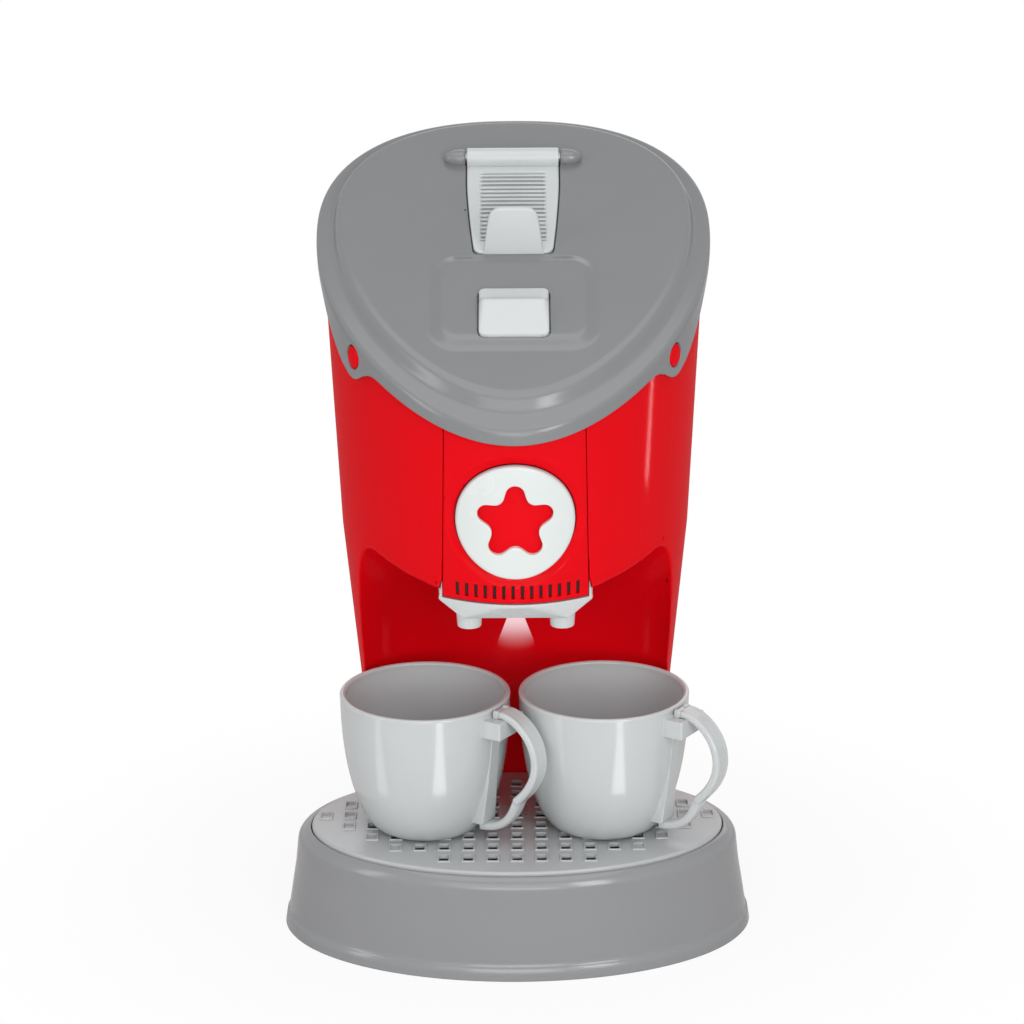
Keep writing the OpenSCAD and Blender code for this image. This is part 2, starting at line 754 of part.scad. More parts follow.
// The solid inside the body's outline around the button, grown by g
module head_space(g) {
    ring_loft([body_ring(chin_z - 1, g, 128), body_ring(shoulder_z, g, 128), body_ring(lid_z, g, 128)]);
}
module front_panel() {
    color(red)
        difference() {
            union() {
                intersection() {
                    head_wall(0, -body_wall);
                    panel_space(0, panel_low);
                    // the panel ends under the top cover
                    body_solid(1, foot_z, 0);
                }
                // well of the star button
                intersection() {
                    along_y(panel_y - 1)
                        cylinder(r = star_button_r + gap + well_t, h = well_y + well_t - panel_y + 1);
                    body_solid(-body_wall / 2, foot_z, 3);
                }
                // posts that carry the board
                for (x = [-1, 1], z = [-1, 1])
                    translate([x * post_x, 0, z * post_dz])
                        along_y(well_y + well_t / 2)
                            cylinder(r = 2.4, h = board_y - well_y - well_t / 2, $fn = 32);
            }
            along_y(panel_y - 20)
                cylinder(r = star_button_r + gap, h = well_y - panel_y + 20);
            along_y(panel_y)
                cylinder(r = stem_r + gap, h = 30, $fn = 48);
            for (x = [-1, 1], z = [-1, 1])
                translate([x * post_x, 0, z * post_dz])
                    along_y(well_y + 2)
                        cylinder(r = 0.95, h = 30, $fn = 32);
            for (i = [0:13])
                translate([(i - 6.5) * vent_pitch - vent_w / 2 + 1, panel_y - 20, vent_z])
                    cube([vent_w, 40, vent_h]);
        }
}
// A five-pointed star with rounded points and rounded inner corners
function turned(p, a) = [p[0] * cos(a) - p[1] * sin(a), p[0] * sin(a) + p[1] * cos(a)];
module star(g) {
    tip = [star_r - star_tip, 0];
    nook = turned([star_in_r + star_fillet, 0], 36);
    side = nook - tip;
    meet = atan2(side[1], side[0]) - acos((star_tip + star_fillet) / norm(side));
    arm = concat(
        [for (i = [-3:3]) tip + turned([star_tip + g, 0], meet * i / 3)],
        [for (i = [0:4]) nook + turned([star_fillet - g, 0], 180 + blend(meet, 72 - meet, i / 4))]
    );
    polygon([for (k = [0:4]) each [for (p = arm) turned(p, 90 + 72 * k)]]);
}
// The button's face follows the curve of the panel in front of it.
button_t = 3.2;
button_back = panel_y - star_proud + button_t;
// Length of the star's cut, enough for its tips on the curved face
star_reach = 5 + star_proud + star_depth;
stem_r = 3;
switch_h = 4.6;
module star_button() {
    color(light_grey)
        difference() {
            union() {
                difference() {
                    intersection() {
                        along_y(panel_y - star_proud - 1)
                            cylinder(r = star_button_r, h = well_y - press - gap - panel_y + star_proud + 1);
                        head_space(star_proud);
                    }
                    intersection() {
                        along_y(panel_y - star_proud - 2)
                            cylinder(r = star_button_r - 1.6, h = 30);
                        head_space(star_proud - button_t);
                    }
                }
                // stem that works the switch
                along_y(button_back - 0.5)
                    cylinder(r = stem_r, h = board_y - switch_h - press - gap - button_back + 0.5, $fn = 48);
            }
            // the star is cut through the front of the button down to the insert
            intersection() {
                along_y(panel_y - star_proud - 2)
                    linear_extrude(star_reach)
                        rotate([0, 0, 180])
                            star(0);
                difference() {
                    head_space(star_proud + 1);
                    head_space(star_proud - star_depth - 0.5);
                }
            }
        }
}
module star_insert() {
    color(red)
        intersection() {
            along_y(panel_y - star_proud - 2)
                linear_extrude(star_reach)
                    rotate([0, 0, 180])
                        star(-0.05);
            difference() {
                head_space(star_proud - star_depth);
                head_space(star_proud - star_depth - 0.5);
            }
        }
}
module star_button_spring() {
    color(steel)
        along_y(button_back + 0.3)
            coil(5, 0.35, well_y - button_back - 0.4, 4);
}
module main_board() {
    color(green)
        translate([-board_w / 2, board_y, star_z - board_w / 2])
            cube([board_w, board_t, board_w]);
    color(black) {
        translate([6, board_y + board_t, star_z - 6])
            cube([10, 1.8, 8]);
        translate([-16, board_y + board_t, star_z - 2])
            cube([5, 3, 9]);
    }
    color(steel)
        for (x = [-1, 1], z = [-1, 1])
            translate([x * post_x, board_y + board_t, star_z + z * post_dz])
                rotate([-90, 0, 0])
                    screw(0.9, 1.8, 6);
}
module board_switch() {
    color(black)
        translate([-3, board_y - 3.8, star_z - 3])
            cube([6, 3.8, 6]);
    color(steel)
        translate([0, board_y - 3.8 + eps, star_z])
            rotate([90, 0, 0])
                cylinder(r = 1.6, h = switch_h - 3.8, $fn = 32);
}

// ---------------------------------------------------------------- spout and light
neck_w = 28;
neck_y0 = front_y(chin_z) + 5;
neck_d = 25;
spout_y = oval_y - 22;
spout_wall = 1.8;
spout_w = panel_w + 2 * seam + 2 * wing_w;
spout_d = 32;
// The spout narrows from the width of the panel to a flat underside.
module spout_form(g) {
    top_y = front_y(chin_z);
    hull() {
        translate([0, 0, chin_z - 1.2 - g])
            linear_extrude(1)
                intersection() {
                    polygon([for (i = [0:ring_n - 1]) body_xy(360 * i / ring_n, chin_z, -g)]);
                    translate([-spout_w / 2 + g, top_y - 5])
                        square([spout_w - 2 * g, 5 + spout_d - g]);
                }
        translate([-18.5 + g, top_y + 5.5 + g, spout_z + g])
            cube([37 - 2 * g, 18 - 2 * g, 0.6]);
    }
}
module spout() {
    color(light_grey) {
        difference() {
            union() {
                spout_form(0);
                for (s = [-1, 1])
                    translate([s * nozzle_pitch / 2, spout_y, nozzle_z])
                        cylinder(r1 = nozzle_r, r2 = nozzle_r + 0.5, h = spout_z - nozzle_z + 2, $fn = 48);
                translate([-neck_w / 2, neck_y0, chin_z - 1])
                    cube([neck_w, neck_d, 5.5]);
                intersection() {
                    wings(0);
                    head_wall(0.2, -body_wall + 0.4);
                    translate([-50, front_y(chin_z) - 1, chin_z - 1])
                        cube([100, 20, 10]);
                }
                // rim that meets the curved underside of the head
                intersection() {
                    difference() {
                        translate([-spout_w / 2, front_y(chin_z), chin_z - 1])
                            cube([spout_w, spout_d, 6]);
                        translate([-panel_w / 2 + 1, front_y(chin_z) - 1, chin_z - 2])
                            cube([panel_w - 2, spout_d - 2, 8]);
                    }
                    bay(-seam);
                    body_solid(-body_wall - seam, foot_z, 0);
                }
            }
            spout_form(spout_wall);
            translate([-neck_w / 2 + spout_wall, neck_y0 + spout_wall, chin_z - 3.4])
                cube([neck_w - 2 * spout_wall, neck_d - 2 * spout_wall, 10]);
            for (s = [-1, 1])
                translate([s * nozzle_pitch / 2, spout_y, nozzle_z - 1])
                    cylinder(r = nozzle_r - 1.4, h = spout_z - nozzle_z, $fn = 48);
            translate([0, spout_y, spout_z - 1])
                cylinder(r = lens_r + seam, h = 4, $fn = 48);
            translate([0, spout_y, spout_z + spout_wall])
                cylinder(r = lens_r + lens_rim + seam, h = 4, $fn = 48);
        }
        // posts that carry the light's board
        for (s = [-1, 1])
            translate([s * 9.4, spout_y, spout_z + spout_wall - 0.2])
                cylinder(r = 2, h = led_board_z - spout_z - spout_wall + 0.2, $fn = 32);
    }
}
lens_r = 5.6;
lens_rim = 1.2;
module led_lens() {
    color(clear)
        translate([0, spout_y, spout_z]) {
            cylinder(r = lens_r, h = spout_wall, $fn = 48);
            translate([0, 0, spout_wall])
                cylinder(r = lens_r + lens_rim, h = 0.8, $fn = 48);
        }
}
led_z = spout_z + 2.7;
led_board_z = led_z + 6.2;
module led_light() {
    color(clear)
        translate([0, spout_y, led_z]) {
            translate([0, 0, 2.5])
                sphere(r = 2.5, $fn = 48);
            translate([0, 0, 2.5])
                cylinder(r = 2.5, h = 3.4, $fn = 48);
            translate([0, 0, 5.3])
                cylinder(r = 2.9, h = 0.9, $fn = 48);
        }
}
module led_board() {
    color(green)
        translate([-neck_w / 2 + spout_wall + seam, neck_y0 + spout_wall + seam, led_board_z])
            cube([neck_w - 2 * spout_wall - 2 * seam, neck_d - 2 * spout_wall - 2 * seam, 1.2]);
}

// ---------------------------------------------------------------- top cover
pad_v0 = 38.5;
pad_v1 = hatch_v0 - 1.5;
pad_w = 56;
pad_rise = 2.2;
power_v = 52;
power_h = plate_h + pad_rise;
power_board_h = -2.5;
power_board_w = 48;
power_board_d = 16;
hinge_h = plate_h + 1.6;
pod_v = 106;
floor_t = 3;
pin_end = 5;
// Offsets of the outer surface from the body's outline, and its heights above the plane of the lower edge
lid_steps = [
    [lid_over, 1], [lid_over, lid_rim - 1.6], [lid_over - 0.7, lid_rim - 0.4],
    [lid_over - 2.4, lid_rim + 0.3], [lid_over - 6, lid_rim + 1.4], [lid_over - 7.4, lid_h - 1.6],
    [lid_over - 8.4, lid_h - 0.5], [lid_over - 10.4, lid_h]
];
module lid_outer() {
    ring_loft(concat([rim_ring(lid_over, 0, lid_n)], [for (p = lid_steps) lean_ring(p[0], p[1], lid_n)]));
}
module lid_inner() {
    ring_loft([
        rim_ring(gap - 0.1, -2, lid_n), lean_ring(gap - 0.1, 0, lid_n),
        lean_ring(gap - 0.1, lid_rim - 2.2, lid_n), lean_ring(lid_over - 8.2, lid_rim - 0.8, lid_n),
        lean_ring(lid_over - 9.8, lid_h - lid_wall, lid_n)
    ]);
}
// The soft-edged pad around the power button
module pad_form(g, low) {
    hull() {
        on_lid(0, (pad_v0 + pad_v1) / 2, plate_h - 3)
            rounded_box([pad_w - 2 * g, pad_v1 - pad_v0 - 2 * g, 2.6 - low], 8);
        on_lid(0, (pad_v0 + pad_v1) / 2, plate_h - 1 - low)
            rounded_box([pad_w - 4 - 2 * g, pad_v1 - pad_v0 - 4 - 2 * g, pad_rise + 1], 6);
    }
}
module hatch_outline(g) {
    polygon([
        [-hatch_end_w / 2 - g, hatch_v0 - g], [hatch_end_w / 2 + g, hatch_v0 - g],
        [hatch_w / 2 + g, hinge_v - 14], [hatch_w / 2 + g, hinge_v], [-hatch_w / 2 - g, hinge_v],
        [-hatch_w / 2 - g, hinge_v - 14]
    ]);
}
module top_cover() {
    color(grey)
        difference() {
            union() {
                difference() {
                    lid_outer();
                    lid_inner();
                }
                pad_form(0, 0);
                // hinge bosses
                for (s = [-1, 1])
                    on_lid(s * (hatch_w / 2 + gap + 0.2), hinge_v, hinge_h)
                        rotate([0, s * 90, 0])
                            cylinder(r1 = barrel_r - 0.3, r2 = pin_r + 0.4, h = pin_end + 2.2, $fn = 48);
                // floor under the hatch, sunk by the thickness of its plate
                on_lid(0, 0, plate_h - hatch_t - floor_t)
                    linear_extrude(floor_t)
                        hatch_outline(3);
                // posts for the switch board
                for (s = [-1, 1])
                    on_lid(s * 19, power_v, power_board_h)
                        cylinder(r = 2.4, h = plate_h - power_board_h - 0.5, $fn = 32);
            }
            // recess of the hatch and its hinge
            on_lid(0, 0, plate_h - hatch_t)
                linear_extrude(12)
                    hatch_outline(gap);
            on_lid(-hatch_w / 2 - gap, hinge_v, hinge_h)
                rotate([0, 90, 0])
                    cylinder(r = barrel_r + gap, h = hatch_w + 2 * gap);
            on_lid(-hatch_w / 2 - gap - pin_end, hinge_v, hinge_h)
                rotate([0, 90, 0])
                    cylinder(r = pin_r + 0.02, h = hatch_w + 2 * gap + 2 * pin_end, $fn = 48);
            // pod opening
            on_lid(0, pod_v, plate_h - 20)
                cylinder(r = pod_r, h = 40, $fn = 96);
            // hollow of the pad, and the opening of the power button
            difference() {
                pad_form(lid_wall, lid_wall);
                for (s = [-1, 1])
                    on_lid(s * 19, power_v, 0)
                        cylinder(r = 2.4, h = 40, $fn = 32);
            }
            on_lid(0, power_v, 0)
                translate([0, 0, -5])
                    rounded_box([power_w + 2 * gap, power_l + 2 * gap, 40], 2.4);
            for (s = [-1, 1])
                on_lid(s * 19, power_v, power_board_h - 1)
                    cylinder(r = 0.95, h = 7, $fn = 32);
            for (s = [-1, 1])
                at_peg(s)
                    cylinder(r = peg_r + seam, h = 20, $fn = 48);
        }
}
hatch_t = 2.4;
module pod_hatch() {
    color(light_grey)
        difference() {
            union() {
                on_lid(0, 0, plate_h - hatch_t + 0.3)
                    linear_extrude(hatch_t)
                        hatch_outline(0);
                on_lid(-hatch_w / 2, hinge_v, hinge_h)
                    rotate([0, 90, 0])
                        cylinder(r = barrel_r, h = hatch_w);
                // finger tab, leaning up the slope
                on_lid(0, hatch_v0 + 2, plate_h)
                    rotate([90 - 20, 0, 0])
                        linear_extrude(2.2)
                            polygon([[-10.6, -1], [10.6, -1], [8.4, 11], [6, 15.4], [3.6, 16.6], [-3.6, 16.6],
                                [-6, 15.4], [-8.4, 11]]);
            }
            // recessed field of fine ribs
            on_lid(0, 0, plate_h + 0.3 - 0.9)
                linear_extrude(2)
                    translate([-11.6, hatch_v0 + 6])
                        square([23.2, hinge_v - hatch_v0 - 12]);
            on_lid(-60, hinge_v, hinge_h)
                rotate([0, 90, 0])
                    cylinder(r = pin_r + pin_fit, h = 120, $fn = 48);
        }
    color(light_grey)
        on_lid(0, 0, plate_h + 0.3 - 0.9 - eps)
            for (i = [0:16])
                translate([-11.6, hatch_v0 + 7 + i * (hinge_v - hatch_v0 - 15) / 16, 0])
                    cube([23.2, 0.9, 0.6]);
}
module hatch_pin() {
    color(steel)
        on_lid(-hatch_w / 2 - gap - pin_end, hinge_v, hinge_h)
            rotate([0, 90, 0])
                cylinder(r = pin_r, h = hatch_w + 2 * gap + 2 * pin_end, $fn = 48);
}
module pod_holder() {
    color(grey)
        on_lid(0, pod_v, plate_h - hatch_t - floor_t)
            rotate([180, 0, 0])
                difference() {
                    union() {
                        cylinder(r = pod_r + 1.8, h = pod_depth, $fn = 96);
                        cylinder(r = pod_r + 4.4, h = 2, $fn = 96);
                    }
                    translate([0, 0, -1])
                        cylinder(r = pod_r, h = pod_depth - 1, $fn = 96);
                }
}
// The power button rises from its front edge to a ridge near its back, as a wedge with a low step behind it.
flange_h = power_h - lid_wall - 2.4;
module power_button() {
    color(light_grey)
        union() {
            intersection() {
                on_lid(0, power_v, power_h - lid_wall - 1.4)
                    rounded_box([power_w, power_l, 20], 2);
                on_lid(-power_w / 2, power_v, power_h)
                    rotate([90, 0, 90])
                        linear_extrude(power_w)
                            polygon([
                                [-power_l / 2, -lid_wall - 1.4], [power_l / 2, -lid_wall - 1.4],
                                [power_l / 2, 0.8], [power_l / 2 - 0.6, 1.4], [4.6, 2.6], [3.4, 4],
                                [2.4, 4.3], [1.2, 4.1], [-power_l / 2 + 1, 1], [-power_l / 2, 0.4]
                            ]);
            }
            // flange that keeps it in the cover
            on_lid(0, power_v + 1, flange_h)
                rounded_box([power_w + 4, power_l - 1, 1.2], 2);
            on_lid(0, power_v, power_board_h + switch_h + press + gap)
                cylinder(r = stem_r, h = flange_h - power_board_h - switch_h - press - gap + eps, $fn = 48);
        }
}
module power_button_spring() {
    color(steel)
        on_lid(0, power_v, power_board_h + 0.05)
            coil(6, 0.35, flange_h - power_board_h - 0.1, 4);
}
module power_switch_board() {
    color(green)
        on_lid(-power_board_w / 2, power_v - power_board_d / 2, power_board_h - board_t)
            cube([power_board_w, power_board_d, board_t]);
    color(black)
        on_lid(-3, power_v - 3, power_board_h - eps)
            cube([6, 6, 3.8]);
    color(steel) {
        on_lid(0, power_v, power_board_h + 3.8 - 2 * eps)
            cylinder(r = 1.6, h = switch_h - 3.8, $fn = 32);
        for (s = [-1, 1])
            on_lid(s * 19, power_v, power_board_h - board_t)
                rotate([180, 0, 0])
                    screw(0.9, 1.8, 6);
    }
}

// ---------------------------------------------------------------- leads
lead_r = 0.7;
bend_r = 4;
// A lead that runs up from z0 at the depth y0, bends and runs level to the depth y1 at the height z1
module lead(x, y0, z0, y1, z1) {
    dir = sign(y1 - y0);
    translate([x, y0, z0])
        cylinder(r = lead_r, h = z1 - bend_r - z0, $fn = 24);
    translate([x, y0 + dir * bend_r, z1 - bend_r])
        rotate([90, 0, -90 * dir])
            rotate_extrude(angle = 90, $fn = 48)
                translate([bend_r, 0])
                    circle(r = lead_r, $fn = 24);
    translate([x, y0 + dir * bend_r, z1])
        rotate([-dir * 90, 0, 0])
            cylinder(r = lead_r, h = abs(y1 - y0) - bend_r, $fn = 24);
}
module battery_leads() {
    z1 = star_z - 14;
    color(red)
        lead(3, cable_hole_y, battery_z + battery_h + box_wall, board_y + board_t, z1);
    color(black)
        lead(-3, cable_hole_y, battery_z + battery_h + box_wall, board_y + board_t, z1);
}
module signal_leads() {
    p = lid_point(power_v - 6, power_board_h - board_t);
    turn_z = star_z + 14;
    color(light_grey)
        for (x = [-8, -5]) {
            // from the power switch down to the main board
            translate([x, p[0], turn_z])
                cylinder(r = lead_r, h = p[1] - turn_z - 0.4, $fn = 24);
            translate([x, p[0], turn_z])
                sphere(r = lead_r, $fn = 24);
            translate([x, board_y + board_t, turn_z])
                rotate([-90, 0, 0])
                    cylinder(r = lead_r, h = p[0] - board_y - board_t, $fn = 24);
        }
    color(red)
        for (x = [6, 9])
            translate([x, board_y + 0.8, led_board_z + 1.2])
                cylinder(r = lead_r, h = star_z - board_w / 2 - led_board_z - 1.2, $fn = 24);
}

// ---------------------------------------------------------------- cups
function cup_outer(u) = cup_foot_r + (cup_r - cup_foot_r) * pow(1 - pow(1 - u, 2.2), 0.6);
cup_steps = 14;
// Height above the foot of the place where the wall has the share u of its height, closer near the foot
function cup_level(u) = pow(u, 1.8) * cup_h;
module cup_profile() {
    outer = [for (i = [0:cup_steps]) let (u = i / cup_steps, z = cup_level(u)) [cup_outer(z / cup_h), z]];
    inner = [
        for (i = [cup_steps:-1:1])
            let (u = i / cup_steps, z = cup_level(u))
            [cup_outer(z / cup_h) - cup_wall, max(z, cup_wall * 1.4)]
    ];
    foot = [[0, 1], [cup_foot_r - 3, 1], [cup_foot_r - 2.4, 0]];
    polygon(concat(foot, outer, inner, [[0, cup_wall * 1.4]]));
}
rib_foot_r = cup_foot_r + 9.7;
rib_z = 6.2;
rib_w = 7;
bracket_z = cup_h - 9.2;
bracket_h = 4.5;
bracket_out = 6.3;
bracket_w = handle_w + 8;
hook_r = cup_r + 0.6 + seam;
hook_t = 2;
module cup(x) {
    translate([x, cup_y, cup_z])
        difference() {
            union() {
                rotate_extrude($fn = 96)
                    cup_profile();
                rotate([0, 0, -handle_turn])
                    difference() {
                        union() {
                            // rib that runs down to the handle's tail
                            translate([0, rib_w / 2, 0])
                                rotate([90, 0, 0])
                                    linear_extrude(rib_w)
                                        polygon([
                                            [cup_foot_r, rib_z], [rib_foot_r, rib_z],
                                            [cup_r + 0.3, bracket_z + 1], [cup_foot_r, bracket_z + 1]
                                        ]);
                            // bracket under the rim
                            translate([cup_r - 8, -bracket_w / 2, bracket_z])
                                cube([8 + bracket_out, bracket_w, bracket_h]);
                        }
                        rotate_extrude($fn = 96)
                            cup_cavity();
                    }
            }
            // slot of the handle's hook
            rotate([0, 0, -handle_turn])
                translate([hook_r - seam, -handle_w / 2 - seam, bracket_z - 1])
                    cube([hook_t + 2 * seam, handle_w + 2 * seam, bracket_h + 2]);
        }
}
module cup_cavity() {
    polygon(concat(
        [[0, cup_wall]],
        [for (i = [1:cup_steps])
            let (z = cup_level(i / cup_steps))
            [cup_outer(z / cup_h) - cup_wall / 2, max(z, cup_wall)]],
        [[0, cup_h + 1]]
    ));
}
// Middle line of the handle in the plane through the cup's axis: distance from the axis, and height
function bezier(p, u) =
    pow(1 - u, 3) * p[0] + 3 * pow(1 - u, 2) * u * p[1] + 3 * (1 - u) * u * u * p[2] + pow(u, 3) * p[3];
reach = handle_reach - handle_t / 2;
head_end = hook_r + 3.5;
elbow = [reach - 8.3, 17.4];
strap_top = [
    [head_end - 0.8, cup_h - 2.9], [head_end + 4.7, cup_h - 2.7], [reach, cup_h - 9.5], [reach, cup_h - 18]
];
strap_low = [[reach, cup_h - 18], [reach, elbow[1] + 9.6], elbow + [4.6, 4.2], elbow];
tail = [elbow + [0.4, 0.4], elbow + [-2, -5.4], [rib_foot_r + 9, rib_z - 0.8], [rib_foot_r - 3, rib_z - 1.6]];
line_steps = 8;
function bezier_line(b) = [for (i = [0:line_steps]) bezier(b, i / line_steps)];
// A strip of the width w along a line, t0 thick at its start and t1 at its end
module strip(line, t0, t1, w) {
    n = len(line);
    sides = [
        for (i = [0:n - 1])
            let (d = line[min(i + 1, n - 1)] - line[max(i - 1, 0)])
            [-d[1], d[0]] / norm(d) * blend(t0, t1, i / (n - 1)) / 2
    ];
    translate([0, w / 2, 0])
        rotate([90, 0, 0])
            linear_extrude(w)
                polygon(concat(
                    [for (i = [0:n - 1]) line[i] + sides[i]],
                    [for (i = [n - 1:-1:0]) line[i] - sides[i]]
                ));
}
module cup_handle(x) {
    head_z0 = bracket_z + bracket_h + seam;
    translate([x, cup_y, cup_z])
        rotate([0, 0, -handle_turn])
            union() {
                strip(concat(bezier_line(strap_top), [for (i = [1:line_steps]) bezier_line(strap_low)[i]]),
                    handle_t * 0.75, handle_t, handle_w);
                strip(bezier_line(tail), handle_t, handle_t * 0.8, tail_w);
                // hook that snaps into the bracket, and the flat head over it
                translate([hook_r, -handle_w / 2, bracket_z - 0.8])
                    cube([hook_t, handle_w, head_z0 + 1 - bracket_z]);
                translate([hook_r, -handle_w / 2, head_z0])
                    cube([head_end - hook_r, handle_w, 2]);
            }
}
module left_cup() color(light_grey) cup(-left_cup_x);
module right_cup() color(light_grey) cup(right_cup_x);
module left_cup_handle() color(light_grey) cup_handle(-left_cup_x);
module right_cup_handle() color(light_grey) cup_handle(right_cup_x);

base_shell();
bottom_plate();
battery_door();
battery_door_screw();
base_screws();
battery_cells();
battery_contacts();
drip_tray();
body_front();
body_back();
body_screws();
front_panel();
star_button();
star_insert();
star_button_spring();
main_board();
board_switch();
spout();
led_lens();
led_light();
led_board();
top_cover();
pod_hatch();
hatch_pin();
pod_holder();
power_button();
power_button_spring();
power_switch_board();
battery_leads();
signal_leads();
left_cup();
left_cup_handle();
right_cup();
right_cup_handle();
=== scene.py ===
"""Looks of a toy pod coffee machine with two cups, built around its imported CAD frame."""

import math

import bmesh
import bpy
import numpy as np
from mathutils import Matrix, Vector
from mathutils.kdtree import KDTree


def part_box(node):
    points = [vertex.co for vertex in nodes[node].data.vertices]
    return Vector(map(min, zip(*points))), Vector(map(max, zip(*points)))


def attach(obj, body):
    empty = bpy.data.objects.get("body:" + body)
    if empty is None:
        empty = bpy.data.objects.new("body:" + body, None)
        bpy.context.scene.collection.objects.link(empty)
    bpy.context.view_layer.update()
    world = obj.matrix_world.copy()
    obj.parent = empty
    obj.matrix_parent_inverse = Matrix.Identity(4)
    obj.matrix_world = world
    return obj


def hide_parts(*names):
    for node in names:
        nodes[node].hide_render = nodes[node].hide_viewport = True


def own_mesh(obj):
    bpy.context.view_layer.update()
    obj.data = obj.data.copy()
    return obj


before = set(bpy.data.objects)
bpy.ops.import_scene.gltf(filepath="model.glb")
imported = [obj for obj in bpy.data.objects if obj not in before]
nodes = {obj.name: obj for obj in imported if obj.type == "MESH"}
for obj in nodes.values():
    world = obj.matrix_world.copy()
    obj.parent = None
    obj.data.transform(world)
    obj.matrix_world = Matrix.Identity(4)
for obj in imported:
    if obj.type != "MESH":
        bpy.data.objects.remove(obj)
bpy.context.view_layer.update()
MM = 0.001

# ---------------- sizes, in mm, as in the source
BASE_W, BASE_D, BASE_H, BASE_LEAN, BASE_ROUND, BASE_WALL = 170, 112, 37.5, 0.16, 5, 2.2
TRAY_W, TRAY_D, TRAY_Y, TRAY_FLOOR = 149, 94, -22.5, 34.9
OVAL_Y, BODY_Y = -21.5, 21.5
FOOT_Z, SHOULDER_Z, HEAD_Z = 37.5, 141, 290
SIDE, FRONT, REAR = (53, 63.1, 70.5), (72, 77.5, 83.2), (44, 47, 50)
EGG_IN, REAR_POWER = 0.15, 2.35
WALL, SEAM, GAP = 2.2, 0.2, 0.4
LEAN = math.radians(31.05)
LID_Z, LID_OVER = 192, 2.2
CHIN_Z, CHIN_RISE = 133.2, 13
SPLIT_Y, PANEL_W = 29.5, 51
STAR_Z, DISC_R = 163.6, 20.7
CUP_Y, CUP_Z = -25.1, 39.2


# ---------------- outlines
def ease(k):
    """A smooth step from 0 to 1."""
    return k * k * (3 - 2 * k)


def bulge(c, power):
    """A sine or cosine bent so that its outline is squarer or rounder than an ellipse."""
    return np.sign(c) * np.abs(c) ** power


def turn_angles(n):
    return np.linspace(0, 2 * np.pi, n, endpoint=False)


def level_ring(x, y, z):
    """Points x, y, all at the height z."""
    return np.stack([x, y, np.full(len(x), float(z))], 1)


def ellipse(a, b, y, z, n=320):
    t = turn_angles(n)
    return level_ring(a * np.cos(t), y + b * np.sin(t), z)


def by_height(steps, z):
    return np.interp(z, (FOOT_Z, SHOULDER_Z, HEAD_Z), steps) + \
        np.minimum(0, z - FOOT_Z) * (steps[1] - steps[0]) / (SHOULDER_Z - FOOT_Z)


def egg(t, a, front, rear, mid):
    """Points of an outline at the angles t, 0 at the right and -90 degrees at the front."""
    c, s = np.cos(t), np.sin(t)
    back = bulge(c, 2 / REAR_POWER), np.abs(s) ** (2 / REAR_POWER) * rear
    fore = c * (1 - EGG_IN * s * s), s * front
    return a * np.where(s >= 0, back[0], fore[0]), mid + np.where(s >= 0, back[1], fore[1])


def body_xy(t, z, g=0.0):
    """The body's outline at the angles t and height z, grown by g."""
    return egg(t, by_height(SIDE, z) + g, by_height(FRONT, z) + g, by_height(REAR, z) + g, BODY_Y)


def body_ring(z, g=0.0, n=256):
    return level_ring(*body_xy(turn_angles(n), z, g), z)


LID_Y = BODY_Y - float(by_height(FRONT, LID_Z)) - LID_OVER


def on_lean(t, g, off, drop=0.0):
    """The outline at the angles t, on the leaning plane of the cover's lower edge, raised by off."""
    z = np.full(len(t), LID_Z + 40.0)
    for _ in range(8):
        z = LID_Z + math.tan(LEAN) * (body_xy(t, z, g)[1] - LID_Y) + off - drop
    x, y = body_xy(t, z, g)
    return np.stack([x, y, z], 1)


def lean_ring(g, off, n=256):
    return on_lean(turn_angles(n), g, off)


def front_y(x, z, g=0.0):
    """Depth of the body's front face at x and z, grown by g."""
    a, f = by_height(SIDE, z) + g, by_height(FRONT, z) + g
    low, high = np.full(np.shape(x), -np.pi / 2), np.zeros(np.shape(x))
    for _ in range(40):
        mid = (low + high) / 2
        inside = a * np.cos(mid) * (1 - EGG_IN * np.sin(mid) ** 2) < np.abs(x)
        low, high = np.where(inside, mid, low), np.where(inside, high, mid)
    return BODY_Y + f * np.sin((low + high) / 2)


# ---------------- meshes
def edit(obj, *steps):
    """Runs the steps on a bmesh of obj."""
    bm = bmesh.new()
    bm.from_mesh(obj.data)
    for step in steps:
        step(bm)
    bm.to_mesh(obj.data)
    bm.free()
    return obj


def outward(bm):
    bmesh.ops.recalc_face_normals(bm, faces=bm.faces)


def welded(dist):
    return lambda bm: bmesh.ops.remove_doubles(bm, verts=bm.verts, dist=dist)


def make(name, verts, faces):
    """An object from points in mm."""
    mesh = bpy.data.meshes.new(name)
    mesh.from_pydata((np.asarray(verts, float) * MM).tolist(), [], faces)
    mesh.validate()
    obj = bpy.data.objects.new(name, mesh)
    bpy.context.scene.collection.objects.link(obj)
    return edit(obj, outward)


def bands(n, m, first=0, closed=False):
    """The quads between m rings of n points, from point first on."""
    faces = []
    for k in range(m if closed else m - 1):
        a, b = first + k * n, first + (k + 1) % m * n
        faces += [(a + i, a + (i + 1) % n, b + (i + 1) % n, b + i) for i in range(n)]
    return faces


def loft(name, rings, strips=False):
    """A closed solid through rings of points. With strips, its ends join mirrored points."""
    n, m = len(rings[0]), len(rings)
    faces = bands(n, m)
    for first in (0, (m - 1) * n):
        if strips:
            last = first + n - 1
            faces += [(first + i, first + i + 1, last - 1 - i, last - i) for i in range(n // 2 - 1)]
        else:
            faces.append(tuple(range(first, first + n)))
    return make(name, np.concatenate(rings), faces)


